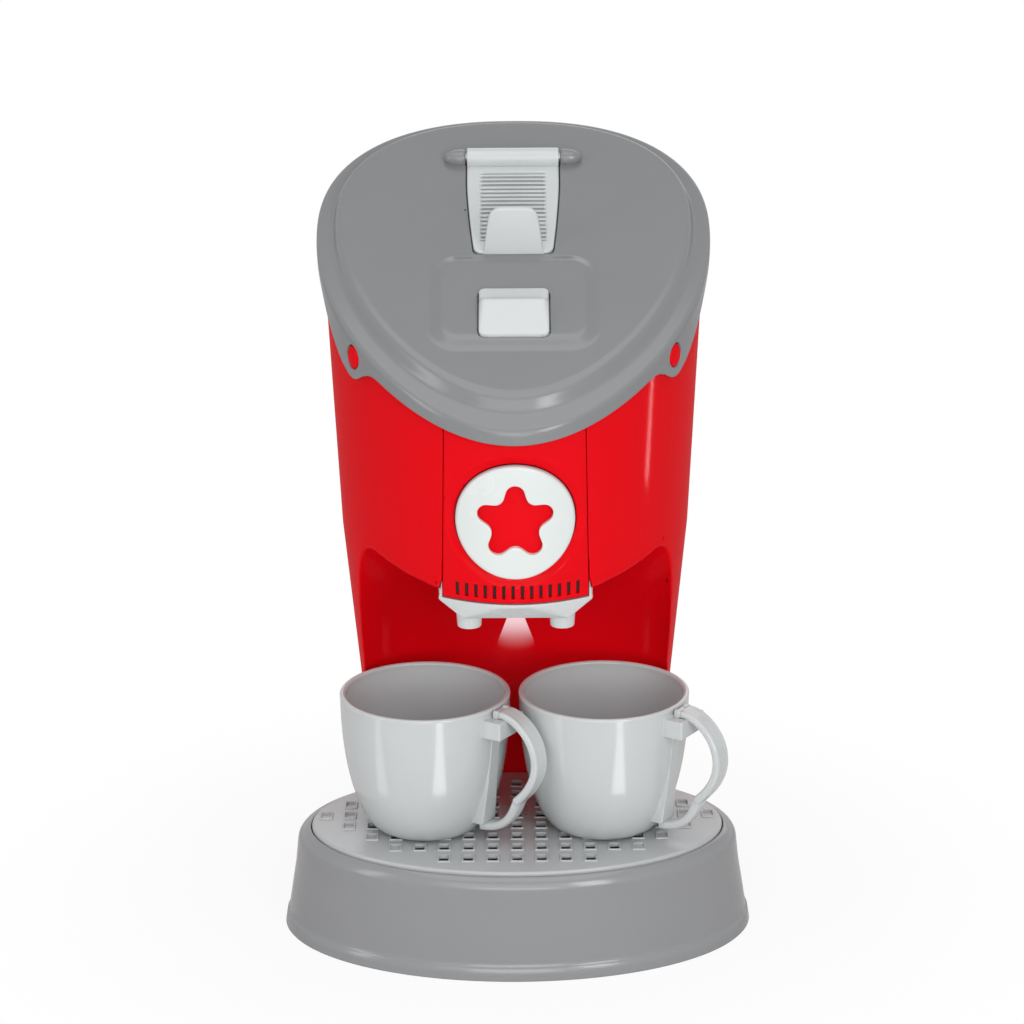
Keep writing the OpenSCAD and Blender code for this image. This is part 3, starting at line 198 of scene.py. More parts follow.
def box(name, lo, hi):
    x, y, z = zip(lo, hi)
    verts = [(x[i], y[j], z[k]) for k in (0, 1) for j in (0, 1) for i in (0, 1)]
    faces = [(0, 2, 3, 1), (4, 5, 7, 6), (0, 1, 5, 4), (2, 6, 7, 3), (0, 4, 6, 2), (1, 3, 7, 5)]
    return make(name, verts, faces)


def lathe(name, profile, n=96, closed=True):
    """A solid turned about Z from points (radius, height)."""
    t, m = turn_angles(n), len(profile)
    rows = [level_ring(r * np.cos(t), r * np.sin(t), z) for r, z in profile]
    faces = bands(n, m, closed=closed)
    if not closed:
        faces += [tuple(range(n)), tuple(range((m - 1) * n, m * n))]
    return make(name, np.concatenate(rows), faces)


def sheet(name, front, back):
    """A closed solid between two grids of points of one shape."""
    rows, cols = front.shape[:2]
    size = rows * cols
    faces = []
    for base, turn in ((0, 1), (size, -1)):
        for a in (base + r * cols + c for r in range(rows - 1) for c in range(cols - 1)):
            faces.append((a, a + 1, a + cols + 1, a + cols)[::turn])
    rim = list(range(cols)) + [r * cols + cols - 1 for r in range(1, rows)]
    rim += [size - cols + c for c in range(cols - 2, -1, -1)]
    rim += [r * cols for r in range(rows - 2, 0, -1)]
    faces += [(a, size + a, size + b, b) for a, b in zip(rim, rim[1:] + rim[:1])]
    return make(name, np.concatenate([front.reshape(-1, 3), back.reshape(-1, 3)]), faces)


def shift(x, y, z):
    return Matrix.Translation(Vector((x, y, z)) * MM)


def rotation(angle, axis):
    return Matrix.Rotation(angle, 4, axis)


def place(obj, matrix):
    obj.data.transform(matrix)
    return obj


def along_y(obj, y, z):
    """Turns a solid's Z axis to face the back of the machine, from the point 0, y, z."""
    return place(obj, shift(0, y, z) @ rotation(math.radians(-90), "X"))


def cut(obj, tool, operation="DIFFERENCE"):
    """Cuts, joins or crosses obj with tool, which is used up."""
    mod = obj.modifiers.new("cut", "BOOLEAN")
    mod.operation, mod.solver, mod.object = operation, "EXACT", tool
    bpy.context.view_layer.update()
    graph = bpy.context.evaluated_depsgraph_get()
    mesh = bpy.data.meshes.new_from_object(obj.evaluated_get(graph))
    obj.modifiers.clear()
    old = obj.data
    obj.data = mesh
    mesh.name = obj.name
    bpy.data.meshes.remove(old)
    bpy.data.objects.remove(tool)
    return obj


def copy_of(obj, name):
    twin = obj.copy()
    twin.data = obj.data.copy()
    twin.name = twin.data.name = name
    bpy.context.scene.collection.objects.link(twin)
    return twin


WELD_M, FLAT = 2e-6, math.radians(0.4)


def cad_copy(node, name):
    """A copy of a CAD node's mesh, with its flat faces in one piece each."""
    obj = copy_of(nodes[node], name)
    obj.parent = None
    for key in list(obj.keys()):
        if key.startswith("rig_"):
            del obj[key]
    return edit(obj, welded(WELD_M), lambda bm: bmesh.ops.dissolve_limit(
        bm, angle_limit=FLAT, verts=bm.verts, edges=bm.edges))


SLIVER, CUT_ROUNDS, UNFOLD_STEPS, UNFOLDED = 0.03, 11, 10, 0.3
RELAX, UNFOLD = 0.6, 0.8


def sharp_points(bm, cell, angle, where):
    """Points along the sharp edges, closer together than cell."""
    points = []
    for e in bm.edges:
        if len(e.link_faces) != 2 or e.calc_face_angle(0) < math.radians(angle):
            continue
        a, b = e.verts[0].co, e.verts[1].co
        if where and not where((a + b) / 2 / MM):
            continue
        n = max(1, int((b - a).length / (cell * 0.7)))
        points += [a.lerp(b, i / n) for i in range(n + 1)]
    return points


def cut_small(bm, far, tree, width, cell):
    """Splits the edges within width of the sharp ones until they are no longer than cell."""
    live = list(bm.edges)
    for _ in range(CUT_ROUNDS):
        cuts = [e for e in live
                if min(v[far] for v in e.verts) < width and e.calc_length() > cell]
        if not cuts:
            break
        made = bmesh.ops.subdivide_edges(bm, edges=cuts, cuts=1)
        touched = set()
        for v in made["geom_inner"]:
            if isinstance(v, bmesh.types.BMVert):
                v[far] = tree.find(v.co)[2]
                touched.update(v.link_faces)
        parts = bmesh.ops.triangulate(bm, faces=[f for f in touched if len(f.verts) > 3])
        live = set()
        for f in parts["faces"]:
            live.update(f.edges)
    bm.verts.index_update()


def unit(v):
    return v / np.maximum(np.linalg.norm(v, axis=1), 1e-20)[:, None]


def folded(co, tris):
    """Which triangles are turned away from those around them."""
    a, b, c = (co[tris[:, i]] for i in range(3))
    normal = np.cross(b - a, c - a)
    around = np.zeros_like(co)
    for i in range(3):
        np.add.at(around, tris[:, i], normal)
    return (unit(normal) * unit(around)[tris].mean(1)).sum(1) < UNFOLDED


def soften(obj, width, cell, steps=8, angle=28, where=None):
    """Rounds obj's sharp edges: the faces beside them are cut small and their corners relaxed."""
    width, cell = width * MM, cell * MM
    bm = bmesh.new()
    bm.from_mesh(obj.data)
    welded(SLIVER * MM)(bm)
    bmesh.ops.dissolve_degenerate(bm, edges=bm.edges, dist=SLIVER * MM)
    bmesh.ops.triangulate(bm, faces=bm.faces)
    points = sharp_points(bm, cell, angle, where)
    tree = KDTree(len(points))
    for i, p in enumerate(points):
        tree.insert(p, i)
    tree.balance()
    far = bm.verts.layers.float.new("far")
    for v in bm.verts:
        v[far] = tree.find(v.co)[2]
    cut_small(bm, far, tree, width, cell)
    co = np.array([v.co for v in bm.verts])
    weight = np.clip(1 - np.array([v[far] for v in bm.verts]) / width, 0, 1)[:, None] ** 0.5
    pairs = np.array([[v.index for v in e.verts] for e in bm.edges])
    tris = np.array([[v.index for v in f.verts[:3]] for f in bm.faces])
    count = np.bincount(pairs.ravel(), minlength=len(co))[:, None]

    def pull():
        """From each point to the mean of its neighbours."""
        total = np.zeros_like(co)
        for a, b in ((0, 1), (1, 0)):
            np.add.at(total, pairs[:, a], co[pairs[:, b]])
        return total / count - co

    for _ in range(steps):
        co += weight * RELAX * pull()
    for _ in range(UNFOLD_STEPS):
        loose = np.zeros(len(co), bool)
        loose[tris[folded(co, tris)].ravel()] = True
        loose &= weight[:, 0] > 0
        if not loose.any():
            break
        co[loose] += UNFOLD * pull()[loose]
    for v, p in zip(bm.verts, co):
        v.co = p
    bm.verts.layers.float.remove(bm.verts.layers.float["far"])
    bm.to_mesh(obj.data)
    bm.free()
    return obj


def smooth(obj, angle=38):
    obj.data.shade_smooth()
    obj.data.set_sharp_from_angle(angle=math.radians(angle))
    return obj


# ---------------- materials
def node_of(tree, kind, inputs=(), **values):
    """A node with its settings, and inputs that are plain values or the sockets linked to them."""
    n = tree.nodes.new(kind)
    for key, value in values.items():
        setattr(n, key, value)
    for key, value in dict(inputs).items():
        if isinstance(value, bpy.types.NodeSocket):
            tree.links.new(value, n.inputs[key])
        else:
            n.inputs[key].default_value = value
    return n


def emptied(data, output):
    """The cleared node tree of a material or world, and its output node."""
    data.use_nodes = True
    data.node_tree.nodes.clear()
    return data.node_tree, node_of(data.node_tree, output)


def noise(tree, coords, scale, detail=3.0, rough=0.5):
    return node_of(tree, "ShaderNodeTexNoise", {
        "Scale": scale, "Detail": detail, "Roughness": rough, "Vector": coords}).outputs["Fac"]


def ranged(tree, value, start, end, lo, hi, kind="LINEAR"):
    return node_of(tree, "ShaderNodeMapRange", {
        "From Min": start, "From Max": end, "To Min": lo, "To Max": hi, "Value": value,
    }, interpolation_type=kind).outputs["Result"]


def spread(tree, value, lo, hi):
    return ranged(tree, value, 0.2, 0.8, lo, hi)


def mixed(tree, a, b, factor):
    """The colour b over the colour or socket a."""
    a = (*a, 1) if isinstance(a, tuple) else a
    return node_of(tree, "ShaderNodeMix", {"A": a, "B": (*b, 1), "Factor": factor},
                   data_type="RGBA").outputs["Result"]


def blended(tree, out, share, under, over):
    """Ends the tree in a mix of two shader nodes."""
    both = node_of(tree, "ShaderNodeMixShader", {
        "Fac": share, 1: under.outputs[0], 2: over.outputs[0]})
    tree.links.new(both.outputs["Shader"], out.inputs["Surface"])


BROAD_SCALE, FINE_SCALE, GRAIN_SCALE, GRAIN_DEPTH = 34.0, 900.0, 2600.0, 0.0001
WEAR_FROM, WEAR_TO, COAT_ROUGH = 0.985, 0.86, 0.08
GLOW_PINK, BEAM_PINK, WHITE = (1.0, 0.80, 0.84, 1), (1.0, 0.72, 0.76, 1), (1, 1, 1, 1)


def finish_of(name, colour, rough, grain=0.02, vary=0.05, metal=0.0, coat=0.0, worn=0.10,
              specular=0.5, bevel=0.25, glow=0.0):
    """A finish with mottled colour, uneven gloss, fine grain and lighter worn edges."""
    mat = bpy.data.materials.new(name)
    tree, out = emptied(mat, "ShaderNodeOutputMaterial")

    def tint(share, more=0.0):
        return tuple(min(1.0, c * share + more) for c in colour)

    coords = node_of(tree, "ShaderNodeTexCoord").outputs["Object"]
    broad = noise(tree, coords, BROAD_SCALE)
    fine = noise(tree, coords, FINE_SCALE, 2.0)
    grains = noise(tree, coords, GRAIN_SCALE, 2.0, 0.6)
    tone = mixed(tree, tint(1 - vary), tint(1 + vary), spread(tree, broad, 0.0, 1.0))
    tone = mixed(tree, tone, tint(1 - 2 * vary), spread(tree, fine, 0.0, 0.25))
    rounded = node_of(tree, "ShaderNodeBevel", {"Radius": bevel * MM}, samples=4)
    rounded = rounded.outputs["Normal"]
    flat = node_of(tree, "ShaderNodeNewGeometry").outputs["Normal"]
    facing = node_of(tree, "ShaderNodeVectorMath", {0: rounded, 1: flat}, operation="DOT_PRODUCT")
    wear = ranged(tree, facing.outputs["Value"], WEAR_FROM, WEAR_TO, 0.0, worn)
    tone = mixed(tree, tone, tint(1.25, 0.04), wear)
    bump = node_of(tree, "ShaderNodeBump", {
        "Strength": grain, "Distance": GRAIN_DEPTH, "Height": grains, "Normal": rounded})
    shader = node_of(tree, "ShaderNodeBsdfPrincipled", {
        "Base Color": tone,
        "Roughness": spread(tree, broad, rough * 0.85, rough * 1.15),
        "Metallic": metal,
        "Coat Weight": coat,
        "Coat Roughness": COAT_ROUGH,
        "Specular IOR Level": specular,
        "Emission Color": GLOW_PINK,
        "Emission Strength": glow,
        "Normal": bump.outputs["Normal"],
    })
    tree.links.new(shader.outputs["BSDF"], out.inputs["Surface"])
    return mat


MOULDED = dict(grain=0.012, worn=0.05)
LOOKS = {
    "body_red": ((0.72, 0.002, 0.007), 0.3,
                 dict(grain=0.006, vary=0.012, specular=0.0, worn=0.02, coat=0.13)),
    "lid_grey": ((0.205, 0.209, 0.216), 0.20, dict(MOULDED, vary=0.012)),
    "base_grey": ((0.245, 0.249, 0.257), 0.17, dict(MOULDED, vary=0.012)),
    "tray_grey": ((0.425, 0.435, 0.445), 0.30,
                  dict(grain=0.02, vary=0.015, bevel=0.15, worn=0.05)),
    "hatch_grey": ((0.56, 0.585, 0.59), 0.22, dict(MOULDED, vary=0.008)),
    # A darker grey for the hatch's rib valleys: painted shade between the ribs.
    "hatch_valley_shade": ((0.27, 0.282, 0.286), 0.3, dict(grain=0.012, vary=0.008, worn=0.0)),
    "disc_grey": ((0.66, 0.70, 0.685), 0.26, dict(MOULDED, vary=0.006)),
    "spout_grey": ((0.56, 0.58, 0.58), 0.26, dict(MOULDED, vary=0.01)),
    "cup_grey": ((0.52, 0.543, 0.548), 0.13, dict(grain=0.008, vary=0.008, worn=0.05)),
    "lens_glow": ((0.80, 0.78, 0.78), 0.30, dict(grain=0.01, vary=0.01, glow=0.9)),
    "inner_grey": ((0.20, 0.205, 0.21), 0.42, dict(grain=0.05, vary=0.04, bevel=0.2)),
    "steel": ((0.42, 0.43, 0.44), 0.40, dict(grain=0.05, vary=0.06, metal=1.0, bevel=0.1)),
    "board": ((0.03, 0.20, 0.07), 0.40, dict(grain=0.08, vary=0.10, bevel=0.1)),
    "cell": ((0.03, 0.03, 0.035), 0.30, dict(grain=0.02, vary=0.08, bevel=0.3)),
    "lead_red": ((0.45, 0.02, 0.02), 0.45, dict(grain=0.05, vary=0.06)),
    # Near-black red for the floors of the vent pockets: painted shade for the dark inside of the slots.
    "vent_painted_shade": ((0.03, 0.004, 0.005), 0.5, dict(grain=0.02, vary=0.1)),
    "switch_black": ((0.025, 0.025, 0.028), 0.4, dict(grain=0.06, vary=0.10)),
}
mats = {name: finish_of(name, colour, rough, **more) for name, (colour, rough, more) in LOOKS.items()}
BEAM_SHARE = 0.75


def beam_material(top, height):
    """Lit air under the spout: brightest at the lens, gone at the foot."""
    mat = bpy.data.materials.new("beam")
    tree, out = emptied(mat, "ShaderNodeOutputMaterial")
    coords = node_of(tree, "ShaderNodeTexCoord").outputs["Object"]
    level = node_of(tree, "ShaderNodeSeparateXYZ", {0: coords}).outputs["Z"]
    share = ranged(tree, level, top - height, top, 0.0, BEAM_SHARE, "SMOOTHSTEP")
    blended(tree, out, share, node_of(tree, "ShaderNodeBsdfTransparent"),
            node_of(tree, "ShaderNodeEmission", {"Color": BEAM_PINK}))
    return mat


def dress(obj, mat):
    obj.data.materials.clear()
    obj.data.materials.append(mats[mat])


def piece(obj, body, mat, slot, *stands_for):
    """Puts a finished piece on its body, in place of the CAD nodes named."""
    dress(obj, mat)
    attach(obj, body)
    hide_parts(*stands_for)
    return obj


# ---------------- camera, light and floor
FOCAL_PX, FRAME_PX = 3500.0, 1024.0
CAMERA_AT, PITCH_DOWN, ROLL = (-1.1, -1199.89, 536.62), math.radians(17.9), -0.0065
camera_data = bpy.data.cameras.new("camera")
camera_data.sensor_fit = "HORIZONTAL"
camera_data.sensor_width = 36.0
camera_data.lens = FOCAL_PX / FRAME_PX * camera_data.sensor_width
camera_data.clip_start, camera_data.clip_end = 0.05, 30.0
camera = bpy.data.objects.new("camera", camera_data)
bpy.context.scene.collection.objects.link(camera)
camera.matrix_world = shift(*CAMERA_AT) @ rotation(math.pi / 2 - PITCH_DOWN, "X") @ rotation(ROLL, "Z")
bpy.context.scene.camera = camera
bpy.context.scene.view_settings.view_transform = "Standard"


def area_light(name, at, towards, size, watts):
    data = bpy.data.lights.new(name, "AREA")
    data.shape = "RECTANGLE"
    data.size, data.size_y = size
    data.energy = watts
    lamp = bpy.data.objects.new(name, data)
    bpy.context.scene.collection.objects.link(lamp)
    aim = (Vector(towards) - Vector(at)).to_track_quat("-Z", "Y")
    lamp.matrix_world = Matrix.Translation(Vector(at)) @ aim.to_matrix().to_4x4()
    return lamp


AIM = (0.0, 0.0, 0.14)
for name, at, towards, size, watts in (
        ("light_top", (0.0, -0.35, 1.55), AIM, (1.3, 1.1), 5.7),
        ("window_right", (0.50, -1.00, 0.50), AIM, (0.26, 0.62), 3.6),
        ("window_left", (-1.05, -0.60, 0.50), AIM, (0.24, 0.80), 2.0),
        ("light_front", (-0.2, -1.55, 0.72), AIM, (1.2, 0.9), 4.5),
        ("light_bay", (0.0, -0.95, 0.17), (0.0, 0.0, 0.10), (0.5, 0.22), 1.05),
        ("light_back", (0.3, 1.3, 0.9), AIM, (1.2, 0.8), 2.4)):
    area_light(name, at, towards, size, watts)
CARD_Z = 0.004


def reflection_card(name, foot, azimuth, near, far, width, watts, seen_in):
    """A bright card lying on the floor, seen only as a streak in the gloss of the pieces named."""
    turn = math.radians(azimuth)
    middle = (near + far) / 2
    at = (foot[0] * MM + math.sin(turn) * middle, foot[1] * MM - math.cos(turn) * middle, CARD_Z)
    card = area_light(name, at, (at[0], at[1], 1.0), (width, far - near), watts)
    card.matrix_world = Matrix.Translation(at) @ rotation(turn, "Z") @ rotation(math.pi, "X")
    card.visible_camera = card.visible_diffuse = False
    receivers = bpy.data.collections.new(name)
    for obj in seen_in:
        receivers.objects.link(obj)
    card.light_linking.receiver_collection = receivers


SOFT_SKY, WHITE_SKY = 0.44, 1.0
world = bpy.data.worlds.new("world")
bpy.context.scene.world = world
tree, world_out = emptied(world, "ShaderNodeOutputWorld")
rays = node_of(tree, "ShaderNodeLightPath").outputs
seen = rays["Is Camera Ray"]
for kind in ("Is Transmission Ray", "Is Glossy Ray"):
    seen = node_of(tree, "ShaderNodeMath", {0: seen, 1: rays[kind]}, operation="MAXIMUM").outputs["Value"]
blended(tree, world_out, seen, *(
    node_of(tree, "ShaderNodeBackground", {"Color": WHITE, "Strength": s}) for s in (SOFT_SKY, WHITE_SKY)))

FLOOR, FLOOR_GREY = 6000, (0.86, 0.86, 0.86, 1)
FADE_NEAR, FADE_FAR, SHARE_NEAR, SHARE_FAR = 0.07, 0.24, 0.88, 1.0


def floor_material():
    """A pale floor that reads white away from the object and keeps its shadow beside it."""
    mat = bpy.data.materials.new("floor")
    tree, out = emptied(mat, "ShaderNodeOutputMaterial")
    coords = node_of(tree, "ShaderNodeTexCoord").outputs["Object"]
    away = node_of(tree, "ShaderNodeVectorMath", {0: coords}, operation="LENGTH").outputs["Value"]
    pale = ranged(tree, away, FADE_NEAR, FADE_FAR, SHARE_NEAR, SHARE_FAR, "SMOOTHSTEP")
    seen = node_of(tree, "ShaderNodeLightPath").outputs["Is Camera Ray"]
    share = node_of(tree, "ShaderNodeMath", {0: pale, 1: seen}, operation="MULTIPLY").outputs["Value"]
    blended(tree, out, share, node_of(tree, "ShaderNodeBsdfDiffuse", {"Color": FLOOR_GREY}),
            node_of(tree, "ShaderNodeEmission"))
    return mat


corners = [(-FLOOR, -FLOOR, 0), (FLOOR, -FLOOR, 0), (FLOOR, FLOOR, 0), (-FLOOR, FLOOR, 0)]
floor = make("floor", corners, [(0, 1, 2, 3)])
floor.data.materials.append(floor_material())


# ---------------- body
BAY_FOOT_A, BAY_A, BAY_DEPTH, BAY_DOME_Z, BAY_WIDE_Z = 76, 60, 48.2, 92, 64.5
BAY_POWER, BAY_FRONT, CHIN_HALF = 2.4, 112.0, 62


def bay_ring(z, a, depth, power, g=0.0, lift=0.0, n=120):
    t = np.linspace(0, np.pi, n + 1)
    x = (a + g) * bulge(np.cos(t), 2 / power)
    y = TRAY_Y + (depth + g) * np.sin(t) ** (2 / power)
    up = z + lift * CHIN_RISE * (x / CHIN_HALF) ** 2
    arc = np.stack([x, y, up], 1)
    near = np.stack([x, np.full(n + 1, TRAY_Y - BAY_FRONT), up], 1)
    return np.concatenate([arc, near[::-1]])


def bay(name, g):
    """The hollow in which the cups stand, grown by g."""
    rings = [bay_ring(FOOT_Z - 8, BAY_FOOT_A, BAY_DEPTH, 2, g)]
    for k in np.linspace(0, 1, 9)[:-1]:
        z, a = BAY_WIDE_Z + (BAY_DOME_Z - BAY_WIDE_Z) * k, BAY_FOOT_A + (BAY_A - BAY_FOOT_A) * ease(k)
        rings.append(bay_ring(z, a, BAY_DEPTH, 2 + (BAY_POWER - 2) * ease(k), g))
    for k in np.linspace(0, 1, 25):
        up, deep = math.sin(math.radians(87 * k)), math.cos(math.radians(87 * k))
        z = BAY_DOME_Z + (CHIN_Z - BAY_DOME_Z) * up + g * up
        rings.append(bay_ring(z, BAY_A + 2 * k, BAY_DEPTH * deep, BAY_POWER, g, up ** 3))
    return loft(name, rings, strips=True)


def body_solid(name, g, low, off):
    """The body's outer form, grown by g, from the height low up to the leaning plane."""
    rings = [body_ring(z, g) for z in np.linspace(low, SHOULDER_Z, 12)]
    top, foot = lean_ring(g, off), body_ring(SHOULDER_Z, g)
    for k in np.linspace(0, 1, 14)[1:]:
        z = foot[:, 2] + (top[:, 2] - foot[:, 2]) * k
        rings.append(np.stack([*body_xy(turn_angles(256), z, g), z], 1))
    return loft(name, rings)


PANEL_LOW, PANEL_TOP = CHIN_Z + 0.4, 200.0
PANEL_TAPER, TAPER_H, PANEL_SEAM = 1.1, 58.0, 0.22


def panel_half(z):
    """Half the width of the panel, which narrows a little upwards."""
    return PANEL_W / 2 - PANEL_TAPER * np.clip((z - PANEL_LOW) / TAPER_H, 0, 1)


shell = body_solid("body_back_skin", 0, FOOT_Z, 2)
cut(shell, bay("tool", 0))
inner = body_solid("inner", -WALL, FOOT_Z - 1, 3)
cut(inner, bay("tool", WALL))
cut(shell, inner)
front_skin = copy_of(shell, "body_front_skin")
cut(shell, box("tool", (-100, SPLIT_Y + SEAM / 2, 0), (100, 200, 400)), "INTERSECT")
cut(front_skin, box("tool", (-100, -200, 0), (100, SPLIT_Y - SEAM / 2, 400)), "INTERSECT")
slot = []
for z in (CHIN_Z - 3, PANEL_LOW, PANEL_LOW + TAPER_H, 260):
    half = float(panel_half(z)) + PANEL_SEAM
    slot.append(np.array([(-half, -80, z), (half, -80, z), (half, -30, z), (-half, -30, z)]))
cut(front_skin, loft("tool", slot))
CHIN_SLOT, CHIN_SLOT_FRONT, CHIN_SLOT_BACK = 14.2, -50.785, -25.4
cut(front_skin, box("tool", (-CHIN_SLOT, CHIN_SLOT_FRONT, CHIN_Z - 10),
                    (CHIN_SLOT, CHIN_SLOT_BACK, CHIN_Z + 20)))
WING_IN, WING_OUT, WING_FRONT, WING_BACK = 25.5, 27.1, -66, -36
for s in (-1, 1):
    wing = [(s * WING_IN, -4), (s * WING_IN, 6.4), (s * WING_OUT, 1), (s * WING_OUT, -4)]
    verts = [(x, y, CHIN_Z + z) for y in (WING_FRONT, WING_BACK) for x, z in wing]
    sides = [(0, 4, 5, 1), (1, 5, 6, 2), (2, 6, 7, 3), (3, 7, 4, 0)]
    cut(front_skin, make("tool", verts, [(0, 1, 2, 3), (4, 7, 6, 5)] + sides))
BAY_EDGE_X, CHIN_EDGE_X, BAY_EDGE_Z, BAY_EDGE_Y = 45, 24, 142, 22


def on_bay_edge(p):
    """Whether p lies on the bay's edge: under the chin on the front face, or at the bay's side."""
    under = p.z < CHIN_Z + 14 and p.y < 20 and abs(p.x) > CHIN_EDGE_X
    if under and abs(p.y - float(front_y(np.array(p.x), np.array(p.z)))) < 0.8:
        return True
    return p.z < BAY_EDGE_Z and abs(p.x) > BAY_EDGE_X and p.y < BAY_EDGE_Y


soften(front_skin, 2.2, 0.7, 14, where=on_bay_edge)
for part, node in ((front_skin, "body_front"), (shell, "body_back")):
    smooth(part, 40)
    piece(part, "machine", "body_red", "red_plastic", node)
reflection_card("card_body", (49, -35), 109, 0.45, 0.80, 0.022, 0.42, [front_skin])


# ---------------- front panel, star button and its floor
DISH_R, DISH_DEPTH, HOLE_R = 24.9, 1.1, DISC_R + GAP
STAR_PROUD, STAR_DEPTH = 1.6, 2.2
VENT_W, VENT_H, VENT_PITCH, VENT_COUNT, VENT_SHIFT = 1.1, 4.9, 3.22, 14, 0.7
VENT_LIFT, VENT_DEPTH, VENT_SHADE = 1.5, 2.3, 1.2
WELL_Y, WELL_T, WELL_DEPTH, STEM_HOLE_R, DISC_Y = -47.0, 1.6, 9, 3.4, -56.865


def panel_grid(g, dished):
    """The panel's face, grown by g, with the dish around the button if dished."""
    z = np.linspace(PANEL_LOW, PANEL_TOP, 120)[:, None] + np.zeros((1, 84))
    x = np.linspace(-1, 1, 84)[None, :] * panel_half(z)
    k = np.clip((DISH_R - np.hypot(x, z - STAR_Z)) / (DISH_R - HOLE_R), 0, 1)
    return np.stack([x, front_y(x, z, g) + dished * DISH_DEPTH * ease(k), z], 2)


panel = sheet("front_panel_skin", panel_grid(0, True), panel_grid(-WALL - 0.6, False))
cut(panel, body_solid("tool", 1, FOOT_Z, 0.5), "INTERSECT")
cut(panel, along_y(lathe("tool", [(HOLE_R, -20), (HOLE_R, 20)], 128, False), DISC_Y, STAR_Z))
for i in range(VENT_COUNT):
    x = (i - (VENT_COUNT - 1) / 2) * VENT_PITCH + VENT_SHIFT
    face = float(front_y(np.array(x), np.array(CHIN_Z + 4)))
    low = PANEL_LOW + VENT_LIFT
    cut(panel, box("tool", (x - VENT_W / 2, face - 3, low),
                   (x + VENT_W / 2, face + VENT_DEPTH, low + VENT_H)))
soften(panel, 0.4, 0.22, 5)
well_line = [(STEM_HOLE_R, 0), (HOLE_R + WELL_T, 0), (HOLE_R + WELL_T, -WELL_DEPTH), (HOLE_R, -WELL_DEPTH),
             (HOLE_R, -WELL_T), (STEM_HOLE_R, -WELL_T)]
well = along_y(lathe("panel_well", well_line, 128), WELL_Y + WELL_T, STAR_Z)
cut(well, body_solid("tool", -1.2, FOOT_Z, 3), "INTERSECT")
for part in (panel, well):
    smooth(part)
    piece(part, "machine", "body_red", "red_plastic", "front_panel")
# The vent slots are pockets: their floors, sunk more than VENT_SHADE behind the face, get a near-black red
# as painted shade.
panel.data.materials.append(mats["vent_painted_shade"])
vent_top = (PANEL_LOW + VENT_LIFT + VENT_H + 0.8) * MM
low = [f for f in panel.data.polygons if f.center.z < vent_top and f.normal.y < -0.6]
centres = np.array([f.center for f in low]) / MM
for f, sunk in zip(low, centres[:, 1] - front_y(centres[:, 0], centres[:, 2]) > VENT_SHADE):
    f.material_index = int(sunk)

STAR_R, STAR_IN_R, STAR_TIP, STAR_FILLET, STAR_POINTS = 13.6, 8.75, 3.3, 3.5, 300
DISC_EDGE, DISC_RIM = 0.45, 1.1
SKIRT, SKIRT_T, DISC_BACK, STAR_BACK = -1.3, 1.6, -1.1, 0.8
STEM_R, STEM_TIP_R, STEM_Y = 3, 2.6, -56.0


def star_outline():
    """A five-pointed star with rounded points and inner corners, in even steps."""
    def turned(p, a):
        c, s = math.cos(a), math.sin(a)
        return np.array([p[0] * c - p[1] * s, p[0] * s + p[1] * c])
    tip = np.array([STAR_R - STAR_TIP, 0])
    nook = turned((STAR_IN_R + STAR_FILLET, 0), math.radians(36))
    side = nook - tip
    meet = math.atan2(side[1], side[0]) - math.acos((STAR_TIP + STAR_FILLET) / np.linalg.norm(side))
    arm = [tip + turned((STAR_TIP, 0), meet * i / 10) for i in range(-10, 11)]
    far = 2 * math.pi / 5 - meet
    arm += [nook + turned((STAR_FILLET, 0), math.pi + meet + (far - meet) * i / 12) for i in range(13)]
    points = np.array([turned(p, math.pi / 2 + k * 2 * math.pi / 5) for k in range(5) for p in arm])
    points = np.concatenate([points, points[:1]])
    run = np.concatenate([[0], np.cumsum(np.linalg.norm(np.diff(points, axis=0), axis=1))])
    even = np.linspace(0, run[-1], STAR_POINTS, endpoint=False)
    return np.stack([np.interp(even, run, points[:, 0]), np.interp(even, run, points[:, 1])], 1)


def on_face(points, g):
    """Points across and up from the middle of the button, on the face grown by g."""
    x, z = points[:, 0], STAR_Z + points[:, 1]
    return np.stack([x, front_y(x, z, g), z], 1)


def ring_sheet(name, rings, fill_first=False):
    """A surface through closed rings of points; the first one may be filled."""
    n = len(rings[0])
    faces = bands(n, len(rings)) + ([tuple(range(n))] if fill_first else [])
    return make(name, np.concatenate(rings), faces)


star = star_outline()
ahead, behind = np.roll(star, -1, 0), np.roll(star, 1, 0)
out = np.stack([(ahead - behind)[:, 1], -(ahead - behind)[:, 0]], 1)
out /= np.linalg.norm(out, axis=1)[:, None]
start = np.argmin(np.abs(np.arctan2(star[:, 1], star[:, 0]) - math.pi / 2))
angle = math.pi / 2 + (np.arange(len(star)) - start) * 2 * np.pi / len(star)
circle = np.stack([np.cos(angle), np.sin(angle)], 1)
STAR_FLOOR = STAR_PROUD - STAR_DEPTH
rings = [on_face(star, STAR_FLOOR - 0.6), on_face(star, STAR_FLOOR)]
for a in np.linspace(0, 1, 6) * math.pi / 2:
    grown = star + out * DISC_EDGE * (1 - math.cos(a))
    rings.append(on_face(grown, STAR_PROUD - DISC_EDGE * (1 - math.sin(a))))
inner = star + out * DISC_EDGE
for k in np.linspace(0, 1, 12)[1:]:
    rings.append(on_face(inner + (circle * (DISC_R - DISC_RIM) - inner) * k, STAR_PROUD))
for a in np.linspace(0, 1, 8)[1:] * math.pi / 2:
    grown = circle * (DISC_R - DISC_RIM + DISC_RIM * math.sin(a))
    rings.append(on_face(grown, STAR_PROUD - DISC_RIM * (1 - math.cos(a))))
rings += [on_face(circle * DISC_R, depth) for depth in (-0.6, SKIRT)]
rings += [on_face(circle * (DISC_R - SKIRT_T), depth) for depth in (SKIRT, DISC_BACK)]
